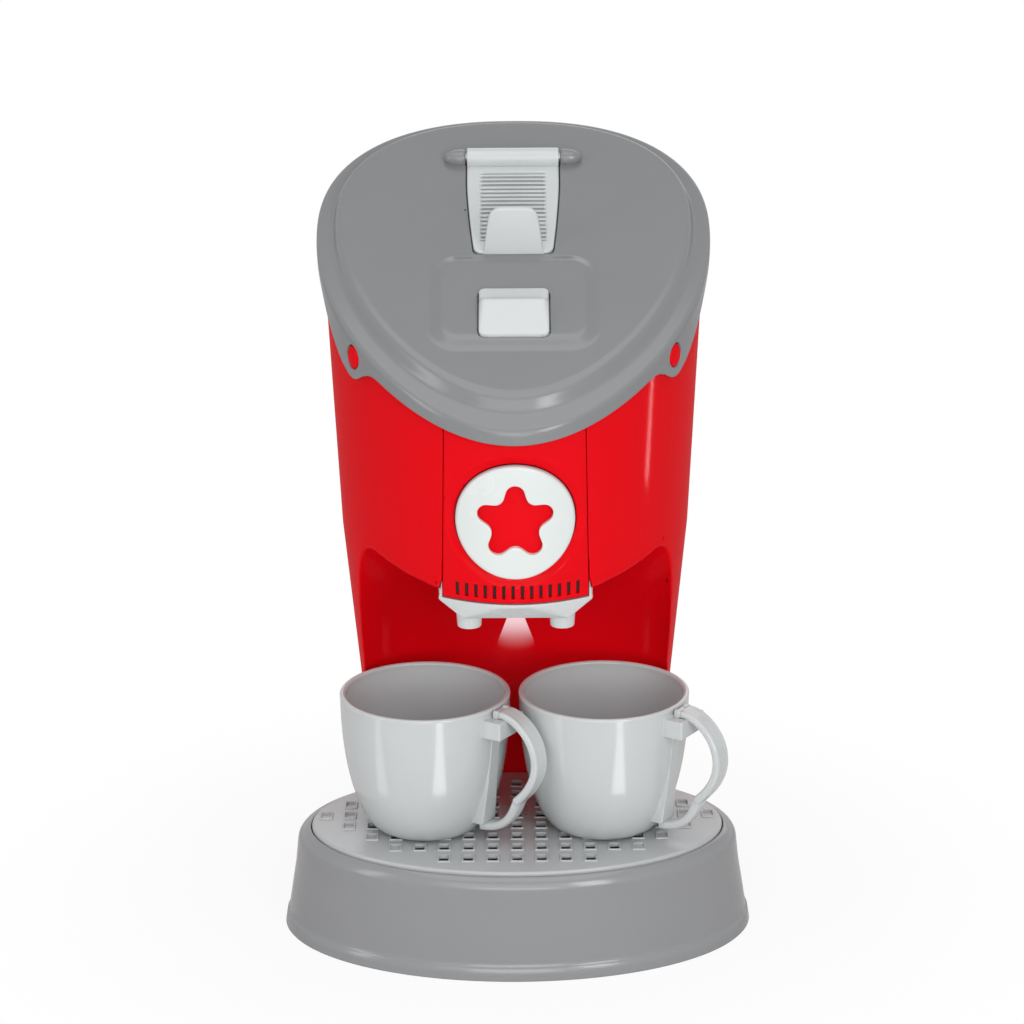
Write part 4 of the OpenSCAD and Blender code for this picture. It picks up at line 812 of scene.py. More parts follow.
rings.append(on_face(star + out * STAR_BACK, DISC_BACK))
disc = edit(ring_sheet("star_button_skin", rings + [rings[0]]), welded(1e-6), outward)
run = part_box("star_button")[1][1] / MM - STEM_Y
stem_line = [(STEM_TIP_R, 0), (STEM_R, 0.4), (STEM_R, run - 0.4), (STEM_TIP_R, run)]
stem = along_y(lathe("star_stem", stem_line, 48, False), STEM_Y, STAR_Z)
for part in (disc, stem):
    smooth(part)
    piece(part, "star_push", "disc_grey", "light_plastic", "star_button")

fill = [on_face(star * k, STAR_FLOOR) for k in (0.02, 0.25, 0.5, 0.75, 0.9, 1.0)]
fill += [on_face(star * k, STAR_FLOOR - 0.5) for k in (1.0, 0.6, 0.02)]
insert = smooth(ring_sheet("star_insert_skin", fill, True))
piece(insert, "star_push", "body_red", "red_plastic", "star_insert")

# ---------------- pegs that show in the ears
PEG_T, PEG_OFF, PEG_R, PEG_TURN = math.radians(-31.3), -3.0, 4.2, math.radians(63)
PEG_LINE = [(0.05, -1.6), (PEG_R, -1.6), (PEG_R, 1.2), (4.0, 1.7), (3.6, 2.1), (2.9, 2.35), (1.6, 2.5),
            (0.05, 2.55)]
peg_x, peg_y, peg_z = (float(v) for v in on_lean(np.array([PEG_T]), 0.0, PEG_OFF)[0])


def at_peg(s):
    """From the origin to the peg on the side s, its axis along the peg."""
    return shift(s * peg_x, peg_y, peg_z) @ rotation(s * PEG_TURN, "Z") @ rotation(math.pi / 2, "X")


for s, side in ((-1, "left"), (1, "right")):
    peg = smooth(place(lathe("peg_" + side, PEG_LINE, 64, False), at_peg(s)), 50)
    piece(peg, "machine", "body_red", "red_plastic", "body_front")

# ---------------- top cover
LID_H = 11.12
PLATE_H = LID_H * math.cos(LEAN)
PAD_RISE, PAD_HALF, PAD_V0, PAD_V1, PAD_CORNER, PAD_SLOPE = 2.0, 30.5, 35.5, 83.4, 11.0, 6.5
HATCH_W, HATCH_END_W, HATCH_V0, HINGE_V = 33.2, 27.8, 83.5, 131.0
HINGE_H, BARREL_R, PIN_R, BOSS_DROP = PLATE_H + 1.6, 3.5, 1.5, 0.2
HATCH_T, FLOOR_T = 2.4, 3.0
POD_V, POD_R = 106.0, 14.0
POWER_V, POWER_W, POWER_L = 52.0, 24.4, 22.0
EAR_R, EAR_SLOPE, EAR_BACK, EAR_FRONT = 8.0, 0.53, 5.0, -6.0
EAR_FADE_BACK, EAR_FADE_FRONT = 23, 7
ON_LID = shift(0, LID_Y, LID_Z) @ rotation(LEAN, "X")
TO_LID = ON_LID.inverted()


def lobe_of(s):
    return np.sqrt(np.maximum(0, EAR_R ** 2 - s * s)) - PEG_OFF + EAR_SLOPE * s


def ear_drop(t):
    """How far the rim hangs below its plane at the angle t: a lobe around each peg."""
    d = np.degrees(t)
    f = np.where(d > 180, d - 360, d)
    m = np.where(f < -90, -180 - f, f)
    x, y = body_xy(np.radians(m), np.full(len(t), peg_z))
    s = np.hypot(x - peg_x, y - peg_y) * np.sign(m - math.degrees(PEG_T))
    k = np.clip((s - EAR_BACK) / EAR_FADE_BACK, 0, 1)
    behind = lobe_of(EAR_BACK) * (1 - k) * (1 + 0.4 * k)
    ahead = lobe_of(EAR_FRONT) * np.clip(1 - (EAR_FRONT - s) / EAR_FADE_FRONT, 0, 1) ** 2.2
    beside = lobe_of(np.clip(s, EAR_FRONT, EAR_BACK))
    drop = np.where(s > EAR_BACK, behind, np.where(s < EAR_FRONT, ahead, beside))
    return np.where((d > 45) & (d < 135), 0, drop)


def rim_ring(g, off, n):
    """The cover's lower edge, with its ears."""
    drop = ear_drop(turn_angles(n))
    for _ in range(6):
        drop = 0.5 * drop + 0.25 * (np.roll(drop, 1) + np.roll(drop, -1))
    return on_lean(turn_angles(n), g, off, drop)


def rounded_line(points, times=3):
    """A polyline with its corners cut round, its ends kept."""
    p = np.array(points, float)
    for _ in range(times):
        a, b = p[:-1], p[1:]
        cuts = np.stack([a * 0.75 + b * 0.25, a * 0.25 + b * 0.75], 1).reshape(-1, 2)
        p = np.concatenate([p[:1], cuts, p[-1:]])
    return p


def pad_height(x, v):
    """Rise of the soft pad around the power button: a rounded rectangle with sloping sides."""
    half, mid = (PAD_V1 - PAD_V0) / 2, (PAD_V1 + PAD_V0) / 2
    dx, dv = np.abs(x) - PAD_HALF + PAD_CORNER, np.abs(v - mid) - half + PAD_CORNER
    out = np.hypot(np.maximum(dx, 0), np.maximum(dv, 0)) + np.minimum(np.maximum(dx, dv), 0)
    return PAD_RISE * ease(np.clip((PAD_CORNER - out) / PAD_SLOPE, 0, 1))


LID_N, PLATE_RINGS = 288, 84
LID_LINE = [(LID_OVER, 1), (LID_OVER, 4), (1.6, 5.3), (-0.6, 5.75), (-3.4, 6.3), (-4.3, 7.4), (-5.0, 9.3),
            (-5.9, 10.7), (-8.2, LID_H)]
LID_INSIDE = ((0.3, 0), (0.3, 3.4), (-6.0, 4.8), (-7.6, 9.2))
rings = [rim_ring(LID_OVER, 0, LID_N), rim_ring(LID_OVER, 0.5, LID_N)]
rings += [lean_ring(g, off, LID_N) for g, off in rounded_line(LID_LINE)]
turned, moved = np.array(TO_LID)[:3, :3], np.array(TO_LID)[:3, 3] / MM
flat = rings[-1] @ turned.T + moved
middle = np.array([0.0, POWER_V + 8.0])
for k in np.linspace(1, 0.01, PLATE_RINGS)[1:]:
    x, v = (middle + (flat[:, :2] - middle) * k).T
    rings.append((np.stack([x, v, flat[:, 2] + pad_height(x, v)], 1) - moved) @ turned)
lid = loft("top_cover_skin", rings)
inner = [rim_ring(0.3, -2, LID_N)] + [lean_ring(g, off, LID_N) for g, off in LID_INSIDE]
cut(lid, loft("tool", inner))


def prism(name, outline, h0, h1):
    """An upright solid on the cover, from an outline of (x, v)."""
    n = len(outline)
    verts = [(x, v, h) for h in (h0, h1) for x, v in outline]
    return place(make(name, verts, [tuple(range(n)), tuple(range(n, 2 * n))] + bands(n, 2)), ON_LID)


def rounded_poly(corners, radii, steps=7):
    """An outline with its corners rounded."""
    out = []
    for i, corner in enumerate(corners):
        p = np.array(corner, float)
        a, b = (np.array(c, float) - p for c in (corners[i - 1], corners[(i + 1) % len(corners)]))
        r = min(radii[i], np.linalg.norm(a) * 0.49, np.linalg.norm(b) * 0.49)
        if r <= 0:
            out.append(tuple(p))
            continue
        a, b = a / np.linalg.norm(a) * r, b / np.linalg.norm(b) * r
        out += [tuple(p + a * (1 - u) ** 2 + b * u ** 2) for u in np.linspace(0, 1, steps)]
    return out


def rounded_rect(half, v0, v1, r, steps=7):
    return rounded_poly([(-half, v0), (half, v0), (half, v1), (-half, v1)], [r] * 4, steps)


def hatch_half(v):
    """Half the width of the hatch, which narrows gently towards its free end."""
    k = np.clip((HINGE_V - 10 - np.asarray(v, float)) / (HINGE_V - 10 - HATCH_V0), 0, 1)
    return HATCH_W / 2 - (HATCH_W - HATCH_END_W) / 2 * k ** 1.5


def hatch_outline(g, r):
    side = [(float(hatch_half(v)) + g, float(v)) for v in np.linspace(HATCH_V0 + 4, HINGE_V, 20)]
    corners = [(-HATCH_END_W / 2 - g, HATCH_V0 - g), (HATCH_END_W / 2 + g, HATCH_V0 - g)] + side
    corners += [(-x, v) for x, v in side[::-1]]
    return rounded_poly(corners, [r, r] + [0] * (2 * len(side)))


def lid_at(v, h):
    return ON_LID @ shift(0, v, h)


def across_lid(profile, h):
    """A solid turned about the hinge line, from points (radius, x)."""
    return place(lathe("tool", profile, 64, False), lid_at(HINGE_V, h) @ rotation(math.pi / 2, "Y"))


BED_H = PLATE_H - HATCH_T - FLOOR_T
cut(lid, prism("tool", hatch_outline(3, 3), BED_H, PLATE_H - HATCH_T + 0.3), "UNION")
x, front, back = HATCH_W / 2 + 3, HINGE_V - 4, HINGE_V + 7
cut(lid, prism("tool", [(-x, front), (x, front), (x, back), (-x, back)], BED_H, PLATE_H - 0.8), "UNION")
BOSS_X = HATCH_W / 2 + GAP + 0.1
BOSS_LINE = ((0.3, 0), (2.6, 0), (3.1, 0.4), (3.25, 1.4), (3.05, 3.4), (2.7, 5.2), (2.1, 6.6), (1.2, 7.5),
             (0.3, 7.8))
for s in (-1, 1):
    cut(lid, across_lid([(r, s * (BOSS_X + x)) for r, x in BOSS_LINE], HINGE_H - BOSS_DROP), "UNION")
cut(lid, prism("tool", hatch_outline(GAP, 2.6), PLATE_H - HATCH_T, PLATE_H + 10))
r, x = BARREL_R + GAP, HATCH_W / 2 + GAP
cut(lid, across_lid([(r, -x), (r, x)], HINGE_H))
cut(lid, place(lathe("tool", [(POD_R, -20), (POD_R, 20)], 96, False), lid_at(POD_V, PLATE_H)))
cut(lid, prism("tool", rounded_rect(25, PAD_V0 + 5, PAD_V1 - 4, 6), 0, PLATE_H + 0.1))
w, l = POWER_W / 2 + GAP, POWER_L / 2 + GAP
cut(lid, prism("tool", rounded_rect(w, POWER_V - l, POWER_V + l, 3), -5, PLATE_H + 20))
PEG_HOLE = ((0.15, -1), (0.15, 1.7), (0.35, 2.15), (0.9, 2.6), (2.6, 5))
for s in (-1, 1):
    cut(lid, place(lathe("tool", [(PEG_R + r, h) for r, h in PEG_HOLE], 64, False), at_peg(s)))
PEG_REACH, EDGE_H, FLAP_V, BUTTON_X, BUTTON_V = 9, PLATE_H - 3.2, 82, 13.3, 64.2


def on_lid_edge(p):
    """Whether p lies at a peg, or on the plate at the flap or the power button."""
    q = TO_LID @ (p * MM) / MM
    if math.dist((abs(p.x), p.y, p.z), (peg_x, peg_y, peg_z)) < PEG_REACH:
        return True
    return q.z > EDGE_H and (q.y > FLAP_V or abs(q.x) < BUTTON_X and q.y < BUTTON_V)


soften(lid, 0.6, 0.32, 7, angle=33, where=on_lid_edge)
smooth(lid, 42)
piece(lid, "machine", "lid_grey", "grey_plastic", "top_cover")

# ---------------- hatch over the pod
RIB_COUNT, RIB_HALF, RIB_FIELD, RIB_RISE = 17, 11.6, 0.9, 0.62
RIB_V0, RIB_V1 = HATCH_V0 + 6, HINGE_V - 6.5
HATCH_TOP, HATCH_CORNER, HATCH_EDGE, EDGE_DROP = PLATE_H + 0.3, 3.2, 0.9, 0.7
# Heights of the rib valleys whose faces are painted in shade.
VALLEY_SHADE_LOW, VALLEY_SHADE_HIGH = HATCH_TOP - 1.0, HATCH_TOP - 0.55


def hatch_grid(level, ribbed, rows=380, cols=64):
    """The hatch's face: a sunk field of fine ribs between plain margins, with rounded edges."""
    v = np.linspace(HATCH_V0, HINGE_V - 2.0, rows)[:, None] + np.zeros((1, cols))
    corner = np.clip((HATCH_CORNER - (v - HATCH_V0)) / HATCH_CORNER, 0, 1)
    half = hatch_half(v) - HATCH_CORNER * (1 - np.sqrt(1 - corner ** 2))
    x = np.sin(np.linspace(-1, 1, cols)[None, :] * math.pi / 2) * half
    h = np.full_like(x, level)
    if ribbed:
        inside = np.minimum.reduce([RIB_HALF - np.abs(x), v - RIB_V0, RIB_V1 - v])
        k = ease(np.clip(inside / 0.5 + 0.5, 0, 1))
        turns = (v - RIB_V0) / (RIB_V1 - RIB_V0) * RIB_COUNT
        h += k * (RIB_RISE * np.clip(0.45 - 1.1 * np.cos(2 * math.pi * turns), 0, 1) - RIB_FIELD)
        edge = np.clip(np.minimum(half - np.abs(x), v - HATCH_V0) / HATCH_EDGE, 0, 1)
        h -= EDGE_DROP * (1 - np.sqrt(1 - (1 - edge) ** 2))
    return np.stack([x, v, h], 2)


slab = sheet("pod_hatch_skin", hatch_grid(HATCH_TOP, True), hatch_grid(HATCH_TOP - HATCH_T, False))
smooth(place(slab, ON_LID), 40)
w, bore = HATCH_W / 2, PIN_R + 0.1
half = [(BARREL_R, w - 0.6), (BARREL_R - 0.12, w - 0.15), (BARREL_R - 0.5, w), (bore, w)]
rod = lathe("pod_hatch_barrel", [(r, -x) for r, x in half[::-1]] + half, 96)
smooth(place(rod, lid_at(HINGE_V, HINGE_H) @ rotation(math.pi / 2, "Y")))
TAB_LEAN, TAB_FOOT = math.radians(70), -0.5
TAB_CORNERS = [(-10.6, -1), (10.6, -1), (9.6, 8.0), (8.1, 16.6), (-8.1, 16.6), (-9.6, 8.0)]
TAB_ROUNDS = (0, 0, 6, 6.5, 6.5, 6)
TAB_LAYERS = ((0.0, 0.7), (0.12, 0.3), (0.4, 0.06), (0.8, 0), (1.5, 0), (1.85, 0.08), (2.1, 0.35),
              (2.2, 0.8))
outline = np.array(rounded_poly(TAB_CORNERS, TAB_ROUNDS, 12))
inward = unit(outline - outline.mean(0)) * (outline[:, 1:] > TAB_FOOT)
layers = [level_ring(*(outline - inward * inset).T, depth) for depth, inset in TAB_LAYERS]
tab = loft("pod_hatch_tab", layers)
smooth(place(tab, lid_at(HATCH_V0 + 2, PLATE_H) @ rotation(TAB_LEAN, "X")))
for part in (slab, rod, tab):
    piece(part, "hatch", "hatch_grey", "light_plastic", "pod_hatch")
# Faces low in the rib valleys get the darker grey: painted shade between the ribs.
slab.data.materials.append(mats["hatch_valley_shade"])
for face in slab.data.polygons:
    x, v, h = TO_LID @ face.center / MM
    face.material_index = int(VALLEY_SHADE_LOW < h < VALLEY_SHADE_HIGH and abs(x) < RIB_HALF)

# ---------------- power button
POWER_H, POWER_R, FLANGE_DROP = PLATE_H + PAD_RISE + 0.2, 2.6, 4.3
FLANGE_OUT, FLANGE_V, FLANGE_T = 2, POWER_V + 1, 1.0
SIDE_R, RIDGE_AT, RIDGE_REACH = 1.2, 2.2, 9
POWER_LINE = np.array([
    (-11, 0.2), (-10.7, 0.7), (-10, 1.0), (1.0, 3.95), (1.7, 4.2), (2.5, 4.25), (3.2, 3.95), (3.9, 3.3),
    (4.6, 2.7), (6.0, 2.25), (10.2, 1.4), (10.8, 1.1), (11, 0.6)])


def power_grid(top, rows=120, cols=64):
    """The button: a wedge with a round ridge, a lower band behind it and rounded sides."""
    a = np.sin(np.linspace(-1, 1, rows)[:, None] * math.pi / 2) * POWER_L / 2 + np.zeros((1, cols))
    corner = np.clip(np.abs(a) - (POWER_L / 2 - 2), 0, 2)
    half = POWER_W / 2 - 2 * (1 - np.sqrt(np.maximum(0, 1 - (corner / 2) ** 2)))
    x = np.sin(np.linspace(-1, 1, cols)[None, :] * math.pi / 2) * half
    if not top:
        return np.stack([x, POWER_V + a, np.full_like(x, POWER_H - FLANGE_DROP)], 2)
    ridge = np.clip(1 - np.abs(a - RIDGE_AT) / RIDGE_REACH, 0, 1)
    r = SIDE_R + (POWER_R - SIDE_R) * ridge
    over = np.clip(np.abs(x) - (half - r), 0, r)
    h = np.interp(a, POWER_LINE[:, 0], POWER_LINE[:, 1])
    h = h - (r - np.sqrt(np.maximum(0, r * r - over * over))) * (0.55 + 0.45 * ridge)
    return np.stack([x, POWER_V + a, POWER_H + h], 2)


def lid_span(node):
    """Lowest and highest point of a CAD node, measured out from the cover."""
    heights = [(TO_LID @ v.co).z / MM for v in nodes[node].data.vertices]
    return min(heights), max(heights)


wedge = smooth(place(sheet("power_button_skin", power_grid(True), power_grid(False)), ON_LID), 60)
w, l, low = POWER_W / 2 + FLANGE_OUT, POWER_L / 2 - 0.5, POWER_H - FLANGE_DROP
outline = rounded_rect(w, FLANGE_V - l, FLANGE_V + l, 2)
flange = smooth(prism("power_button_flange", outline, low, low + FLANGE_T), 30)
foot = lid_span("power_button")[0]
stem_line = [(STEM_TIP_R, foot), (STEM_R, foot + 0.4), (STEM_R, low + 0.3)]
stem = smooth(place(lathe("power_button_stem", stem_line, 48, False), lid_at(POWER_V, 0)))
for part in (wedge, flange, stem):
    piece(part, "power_push", "hatch_grey", "light_plastic", "power_button")

# ---------------- cups and handles
CUP_H, CUP_R, CUP_FOOT_R, CUP_WALL = 51.0, 30.5, 17.3, 1.8
CUP_X = {"left": -32.7, "right": 31.4}
HANDLE_TURN = math.radians(-33)
BRACKET_Z, BRACKET_H, BRACKET_OUT, BRACKET_W = CUP_H - 9.6, 6.6, 6.5, 15.6
HOOK_R, HOOK_T, HANDLE_W, HANDLE_PLAY = CUP_R + 0.8, 2.0, 7.6, 0.2
CUP_FOOT_LINE = [(0.4, 1.0), (13.6, 1.0), (14.2, 0.7), (14.6, 0.2), (15.2, 0.0), (16.9, 0.0)]
CUP_FLOOR_LINE = [(19.0, 2.62), (17.0, 2.52), (0.4, 2.52)]
RIB_IN, RIB_LEVELS = 16.5, ((27.0, 6.2, 4.4), (27.7, 12.0, 3.9), (29.0, 24.0, 2.9), (30.8, 42.8, 2.4))


def cup_wall_line(inset, low, high, n=44):
    """The cup's outer side, set in by inset, from the height low to high."""
    z = low + (high - low) * np.linspace(0, 1, n) ** 1.8
    u = np.clip(z / CUP_H, 0, 1)
    r = CUP_FOOT_R + (CUP_R - CUP_FOOT_R) * (1 - (1 - u) ** 2.2) ** 0.6
    return [(float(a) - inset, float(h)) for a, h in zip(r, z)]


def make_cup():
    lip = CUP_WALL / 2
    arc = [(CUP_R - lip + (lip + 0.12) * math.cos(a), CUP_H - lip + lip * math.sin(a))
           for a in np.linspace(0, math.pi, 12)]
    outside = CUP_FOOT_LINE + cup_wall_line(0, 0.12, CUP_H - lip - 0.8)
    inside = cup_wall_line(CUP_WALL, 2.9, CUP_H - lip - 0.4)[::-1] + CUP_FLOOR_LINE
    cup = lathe("cup", outside + arc + inside, 144, False)
    verts = [(x, y, z) for r, z, half in RIB_LEVELS for x in (RIB_IN, r) for y in (-half, half)]
    faces = [(0, 1, 3, 2), tuple(len(verts) - 4 + i for i in (0, 2, 3, 1))]
    for a in range(0, len(verts) - 4, 4):
        faces += [(a + i, a + j, a + 4 + j, a + 4 + i) for i, j in ((0, 1), (1, 3), (3, 2), (2, 0))]
    low, high, half = BRACKET_Z, BRACKET_Z + BRACKET_H, BRACKET_W / 2
    bracket = box("tool", (CUP_R - 8, -half, low), (CUP_R + BRACKET_OUT, half, high))
    cut(bracket, make("tool", verts, faces), "UNION")
    hollow = [(0.4, 1.9), (16.0, 1.9)] + cup_wall_line(CUP_WALL / 2, 2.2, CUP_H + 4)
    cut(bracket, lathe("tool", hollow + [(0.4, CUP_H + 4)], 144, False))
    half = HANDLE_W / 2 + HANDLE_PLAY
    cut(bracket, box("tool", (HOOK_R - HANDLE_PLAY, -half, low - 1),
                     (HOOK_R + HOOK_T + HANDLE_PLAY, half, high + 1)))
    cut(cup, bracket, "UNION")
    return smooth(soften(cup, 0.8, 0.4, 8, angle=30))


def bezier(p, n=28):
    u = np.linspace(0, 1, n)[:, None]
    p = np.array(p, float)
    return (1 - u) ** 3 * p[0] + 3 * (1 - u) ** 2 * u * p[1] + 3 * (1 - u) * u * u * p[2] + u ** 3 * p[3]


def sweep(name, line, widths, thicks, dent):
    """A strap along a line of (distance from the cup's axis, height), its outer side dented."""
    phi = turn_angles(40)
    rings = []
    last = len(line) - 1
    for i in range(last + 1):
        d = line[min(i + 1, last)] - line[max(i - 1, 0)]
        normal = np.array([-d[1], d[0]]) / np.linalg.norm(d)
        k = i / last
        w, t = (lo + (hi - lo) * k for lo, hi in (widths, thicks))
        across = w / 2 * bulge(np.cos(phi), 0.55)
        out = t / 2 * bulge(np.sin(phi), 0.6)
        sunk = ease(np.clip((w / 2 - 1.15 - np.abs(across)) / 0.7, 0, 1))
        out = out - np.where(out > 0, min(1, k * 12, (1 - k) * 9) * dent * sunk, 0)
        p = line[i][None, :] + normal[None, :] * out[:, None]
        rings.append(np.stack([p[:, 0], across, p[:, 1]], 1))
    return loft(name, rings)


HANDLE_REACH, ELBOW_X, ELBOW_Z, HEAD_END = 48.3, 40.0, 17.4, HOOK_R + 3.5
HANDLE_TOP = [(HEAD_END - 0.8, CUP_H - 1.6), (HEAD_END + 5.2, CUP_H - 1.6), (HANDLE_REACH, CUP_H - 8.5),
              (HANDLE_REACH, CUP_H - 18)]
HANDLE_LOW = [(HANDLE_REACH, CUP_H - 18), (HANDLE_REACH, ELBOW_Z + 9.6), (ELBOW_X + 4.6, ELBOW_Z + 4.2),
              (ELBOW_X, ELBOW_Z)]
HANDLE_TAIL = [(ELBOW_X + 0.4, ELBOW_Z + 0.4), (ELBOW_X - 2, ELBOW_Z - 5.4), (36.0, 5.4), (24.6, 4.8)]


def make_handle():
    line = np.concatenate([bezier(HANDLE_TOP), bezier(HANDLE_LOW)[1:]])
    handle = sweep("handle", line, (HANDLE_W + 0.6, HANDLE_W), (3.0, 3.4), 0.35)
    cut(handle, sweep("tool", bezier(HANDLE_TAIL), (6.6, 6.0), (3.4, 3.0), 0.0), "UNION")
    half, z = HANDLE_W / 2, BRACKET_Z + BRACKET_H + 0.2
    head = box("tool", (HOOK_R, -half, z), (HEAD_END, half, z + 1.9))
    cut(head, box("tool", (HOOK_R, -half, BRACKET_Z - 0.8), (HOOK_R + HOOK_T, half, z + 1)), "UNION")
    for lo, hi in ((-3.8, -2.3), (2.3, 3.8)):
        cut(head, box("tool", (HOOK_R + 0.1, lo, z + 1), (HOOK_R + 2.6, hi, z + 2.6)), "UNION")
    cut(handle, head, "UNION")
    return smooth(soften(handle, 0.7, 0.35, 7, angle=35))


cup, handle = make_cup(), make_handle()
for side, x in CUP_X.items():
    stand = shift(x, CUP_Y, CUP_Z) @ rotation(HANDLE_TURN, "Z")
    mug = []
    for form, node in ((cup, side + "_cup"), (handle, side + "_cup_handle")):
        twin = place(copy_of(form, node + "_skin"), stand)
        mug.append(piece(twin, side + "_mug", "cup_grey", "light_plastic", node))
    reflection_card("card_near_" + side, (x, CUP_Y), 19, 0.085, 0.26, 0.030, 0.075, mug)
    reflection_card("card_side_" + side, (x, CUP_Y), -62, 0.085, 0.22, 0.030, 0.022, mug)
for form in (cup, handle):
    bpy.data.objects.remove(form)

# ---------------- base
LIP_Z, LIP_IN, LIP_H, LIP_FADE_Z, LIP_FADE_END = 4.6, 0.55, 0.7, 24, 34
FOOT_EDGE = 0.35
LOBE_W, LOBE_FRONT, LOBE_REAR = 130, 60, 56
SEAT_Z, BASIN_Z, BASIN_EDGE = TRAY_FLOOR - 0.2, 23.5, 12


def base_inset(z, shown):
    """How far the base's side stands in from its foot: it leans, with a round shoulder and a lip."""
    z = max(0.0, z)
    rise = (z - BASE_H + BASE_ROUND) / BASE_ROUND
    inset = BASE_LEAN * z
    if rise > 0:
        inset += BASE_ROUND * (1 - math.sqrt(max(0.0, 1 - rise ** 2)))
    if not shown:
        return inset
    if z < LIP_FADE_Z:
        return inset + LIP_IN * min(1.0, max(0.0, (z - LIP_Z) / LIP_H))
    return inset + LIP_IN * max(0.0, (LIP_FADE_END - z) / (LIP_FADE_END - LIP_FADE_Z))


def oval(z, inset):
    return ellipse(BASE_W / 2 - inset, BASE_D / 2 - 0.8 * inset, OVAL_Y, z)


def lobe(z, inset):
    return level_ring(*egg(turn_angles(320), LOBE_W / 2 - inset, LOBE_FRONT - inset, LOBE_REAR - inset,
                           BODY_Y), z)


def base_form(name, g, low, high, shown=False):
    """The base's outer form, grown by g, with its lip and foot edge if shown."""
    levels = [low] + ([FOOT_EDGE] if shown else [])
    levels += [z for z in (2.0, LIP_Z, LIP_Z + 0.25, LIP_Z + 0.5, LIP_Z + 0.75) if low < z]
    levels += list(np.linspace(7, BASE_H - BASE_ROUND, 12))
    levels += [BASE_H - BASE_ROUND * (1 - math.sin(a)) for a in np.linspace(0, math.pi / 2, 12)[1:]]
    levels = sorted(z for z in levels if z < high) + [high]
    insets = [base_inset(z, shown) + g + (FOOT_EDGE if shown and z == low else 0) for z in levels]
    form = loft(name, [oval(z, inset) for z, inset in zip(levels, insets)])
    return cut(form, loft("tool", [lobe(z, inset) for z, inset in zip(levels, insets)]), "UNION")


def tray_plate(edge, grown, z0, z1):
    """An upright oval tool as wide as the tray, less edge, grown by grown."""
    w, d = TRAY_W - edge + grown, TRAY_D - edge + grown
    return loft("tool", [ellipse(w / 2, d / 2, TRAY_Y, z) for z in (z0, z1)])


base = base_form("base_shell_skin", 0, 0, BASE_H, True)
hollow = base_form("hollow", BASE_WALL, -1, BASE_H - BASE_WALL)
cut(hollow, tray_plate(0, 2 * BASE_WALL, SEAT_Z - BASE_WALL, BASE_H))
cut(hollow, tray_plate(BASIN_EDGE, 2 * BASE_WALL, BASIN_Z - BASE_WALL, BASE_H))
cut(base, hollow)
cut(base, tray_plate(BASIN_EDGE, 0, BASIN_Z, BASE_H + 1))
cut(base, tray_plate(0, 2 * GAP, SEAT_Z, BASE_H + 1))
soften(base, 0.5, 0.4, 5, where=lambda p: p.z > SEAT_Z + 0.5 and p.y < 40)
smooth(base)
piece(base, "machine", "base_grey", "grey_plastic", "base_shell")

# ---------------- drip tray
TRAY_TOP, EDGE_R, TOP_T, SKIRT_IN, TRAY_SKIRT_T = 38.5, 0.9, 0.9, 6 + GAP, 2
FRAME_W, FRAME_D, FRAME_RISE, FRAME_EDGE = 4.9, 6.4, 0.5, 0.7
FRAME_LINE = ((0, -0.3), (0, FRAME_RISE * 0.55), (0.12, FRAME_RISE * 0.9), (0.3, FRAME_RISE),
              (FRAME_EDGE - 0.15, FRAME_RISE), (FRAME_EDGE - 0.02, FRAME_RISE * 0.8), (FRAME_EDGE, -0.5))
INNER_W, INNER_D, INNER_SUNK, HOLE_W, HOLE_D = 3.5, 5.0, 0.35, 3.2, 3.7
CELL_X, CELL_Y = 8.7, 9.9
CELL_ROWS, HOLE_ROWS = (3, 5, 6, 7, 8, 7, 6, 4), (3, 4, 5, 6, 6, 6, 5, 3)


def cell_places(rows):
    return [(c * CELL_X, TRAY_Y + (r - (len(rows) - 1) / 2) * CELL_Y)
            for r, half in enumerate(rows) for c in range(-half, half + 1)]


def tray_edge(inset, z):
    return ellipse(TRAY_W / 2 - inset, TRAY_D / 2 - inset, TRAY_Y, z, 288)


def pegs_in(rows, width, depth, low):
    """Upright square bars, one in each cell of the rows."""
    points, sides = [], []
    for x, y in cell_places(rows):
        a = len(points)
        points += [(x + sx * width / 2, y + sy * depth / 2, z) for z in (low, TRAY_TOP + 3)
                   for sx, sy in ((-1, -1), (1, -1), (1, 1), (-1, 1))]
        sides += [(a + 3, a + 2, a + 1, a), (a + 4, a + 5, a + 6, a + 7)] + bands(4, 2, a)
    return make("tool", points, sides)


rings = [tray_edge(0.5, TRAY_FLOOR), tray_edge(0, TRAY_FLOOR + 0.4)]
rings += [tray_edge(EDGE_R * (1 - math.cos(a)), TRAY_TOP - EDGE_R * (1 - math.sin(a)))
          for a in np.linspace(0, math.pi / 2, 9)]
tray = loft("drip_tray_skin", rings)
cut(tray, loft("tool", [tray_edge(2.2, TRAY_FLOOR - 1), tray_edge(2.2, TRAY_TOP - TOP_T)]))
skirt = loft("tool", [tray_edge(SKIRT_IN, z) for z in (TRAY_FLOOR - 3, TRAY_TOP - 0.7)])
cut(skirt, loft("tool2", [tray_edge(SKIRT_IN + TRAY_SKIRT_T, z) for z in (TRAY_FLOOR - 4, TRAY_TOP)]))
cut(tray, skirt, "UNION")
cut(tray, pegs_in(CELL_ROWS, INNER_W, INNER_D, TRAY_TOP - INNER_SUNK))
cut(tray, pegs_in(HOLE_ROWS, HOLE_W, HOLE_D, TRAY_FLOOR - 5))
verts, faces = [], []
for x, y in cell_places(CELL_ROWS):
    faces += bands(12, len(FRAME_LINE), len(verts), True)
    for inset, rise in FRAME_LINE:
        d = FRAME_D / 2 - inset
        ring = rounded_rect(FRAME_W / 2 - inset, -d, d, max(0.15, 0.55 - inset * 0.5), 3)
        verts += [(x + px, y + py, TRAY_TOP + rise) for px, py in ring]
frames = make("drip_tray_frames", verts, faces)
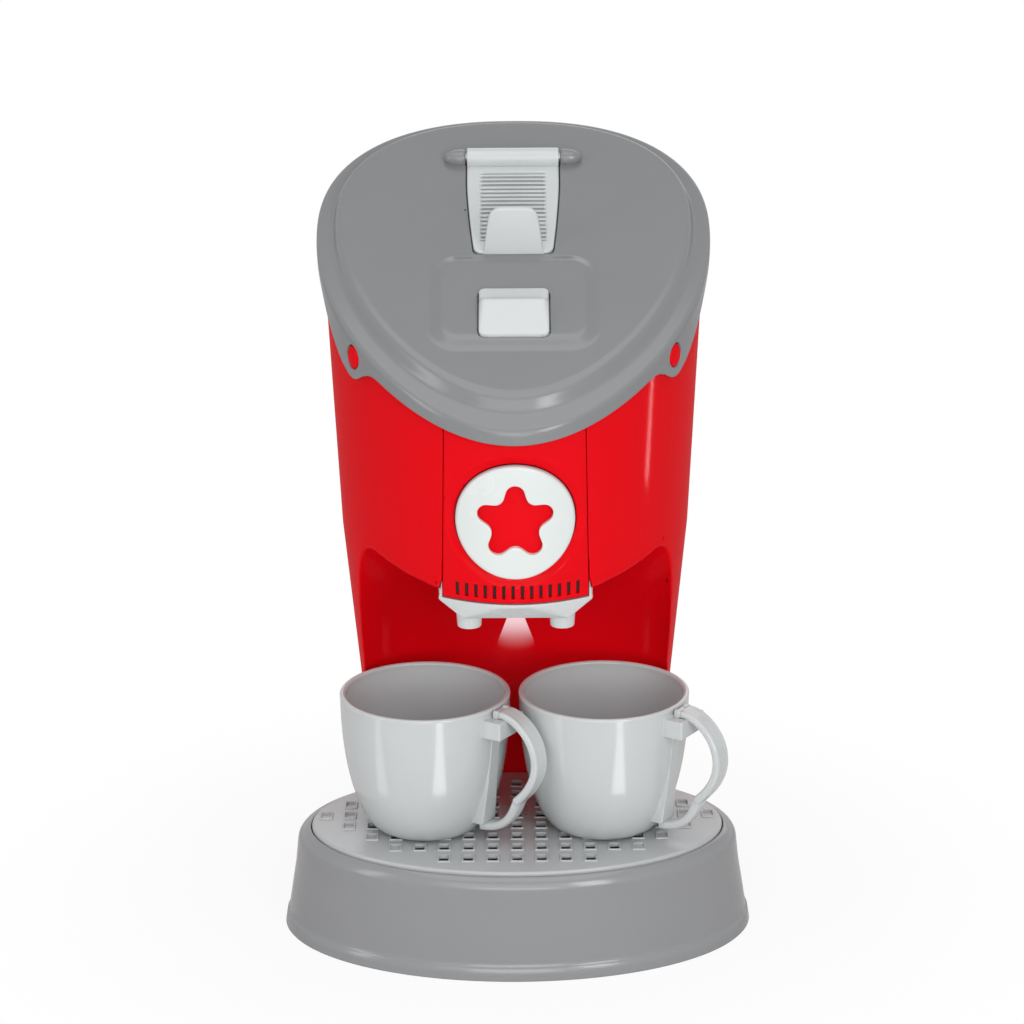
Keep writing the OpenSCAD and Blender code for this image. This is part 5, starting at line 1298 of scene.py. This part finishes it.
for part, angle in ((tray, 40), (frames, 50)):
    smooth(part, angle)
    piece(part, "tray", "tray_grey", "light_plastic", "drip_tray")

# ---------------- light under the spout
SPOUT_Y, SPOUT_Z, LENS_R, LENS_FLANGE_R = -43.5, 126.4, 5.6, 6.8
LENS_LINE = [(0.05, -0.2), (2.4, -0.15), (4.2, 0.0), (5.2, 0.25), (LENS_R, 0.7), (LENS_R, 1.8),
             (LENS_FLANGE_R, 1.8), (LENS_FLANGE_R, 2.6), (0.05, 2.6)]
CONE_TOP, CONE_FOOT, CONE_H = 2.4, 7.0, 12.5
lens = smooth(place(lathe("led_lens_skin", LENS_LINE, 64, False), shift(0, SPOUT_Y, SPOUT_Z)))
piece(lens, "machine", "lens_glow", "lens_clear", "led_lens")
cone = [(CONE_TOP + (CONE_FOOT - CONE_TOP) * k, -CONE_H * k) for k in np.linspace(0, 1, 12)]
beam = edit(lathe("beam", cone, 64, False), lambda bm: bmesh.ops.delete(
    bm, geom=[f for f in bm.faces if len(f.verts) > 4], context="FACES_ONLY"))
smooth(place(beam, shift(0, SPOUT_Y, SPOUT_Z - 0.4)))
beam.data.materials.append(beam_material(SPOUT_Z * MM, CONE_H * MM))


# ---------------- spout and springs, from the CAD meshes
def spring(node):
    """A spring copied from its CAD node, in steel, with a mesh of its own."""
    obj = smooth(cad_copy(node, node + "_skin"), 50)
    piece(obj, "machine", "steel", "steel", node)
    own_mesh(obj)


low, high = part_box("star_button_spring")
spring("star_button_spring")
foot, head = lid_span("power_button_spring")
spring("power_button_spring")
spout = smooth(soften(cad_copy("spout", "spout_skin"), 0.6, 0.35, 6))
piece(spout, "machine", "spout_grey", "light_plastic", "spout")

# ---------------- CAD nodes that stay
KEPT = {
    "inner_grey": ("bottom_plate", "battery_door", "pod_holder"),
    "steel": ("battery_door_screw", "base_screws", "body_screws", "battery_contacts", "hatch_pin"),
    "board": ("main_board", "led_board", "power_switch_board"),
    "cell": ("battery_cells",),
    "switch_black": ("board_switch",),
    "lead_red": ("battery_leads", "signal_leads"),
    "lens_glow": ("led_light",),
}
for mat, names in KEPT.items():
    for name in names:
        dress(nodes[name], mat)

bpy.context.view_layer.update()
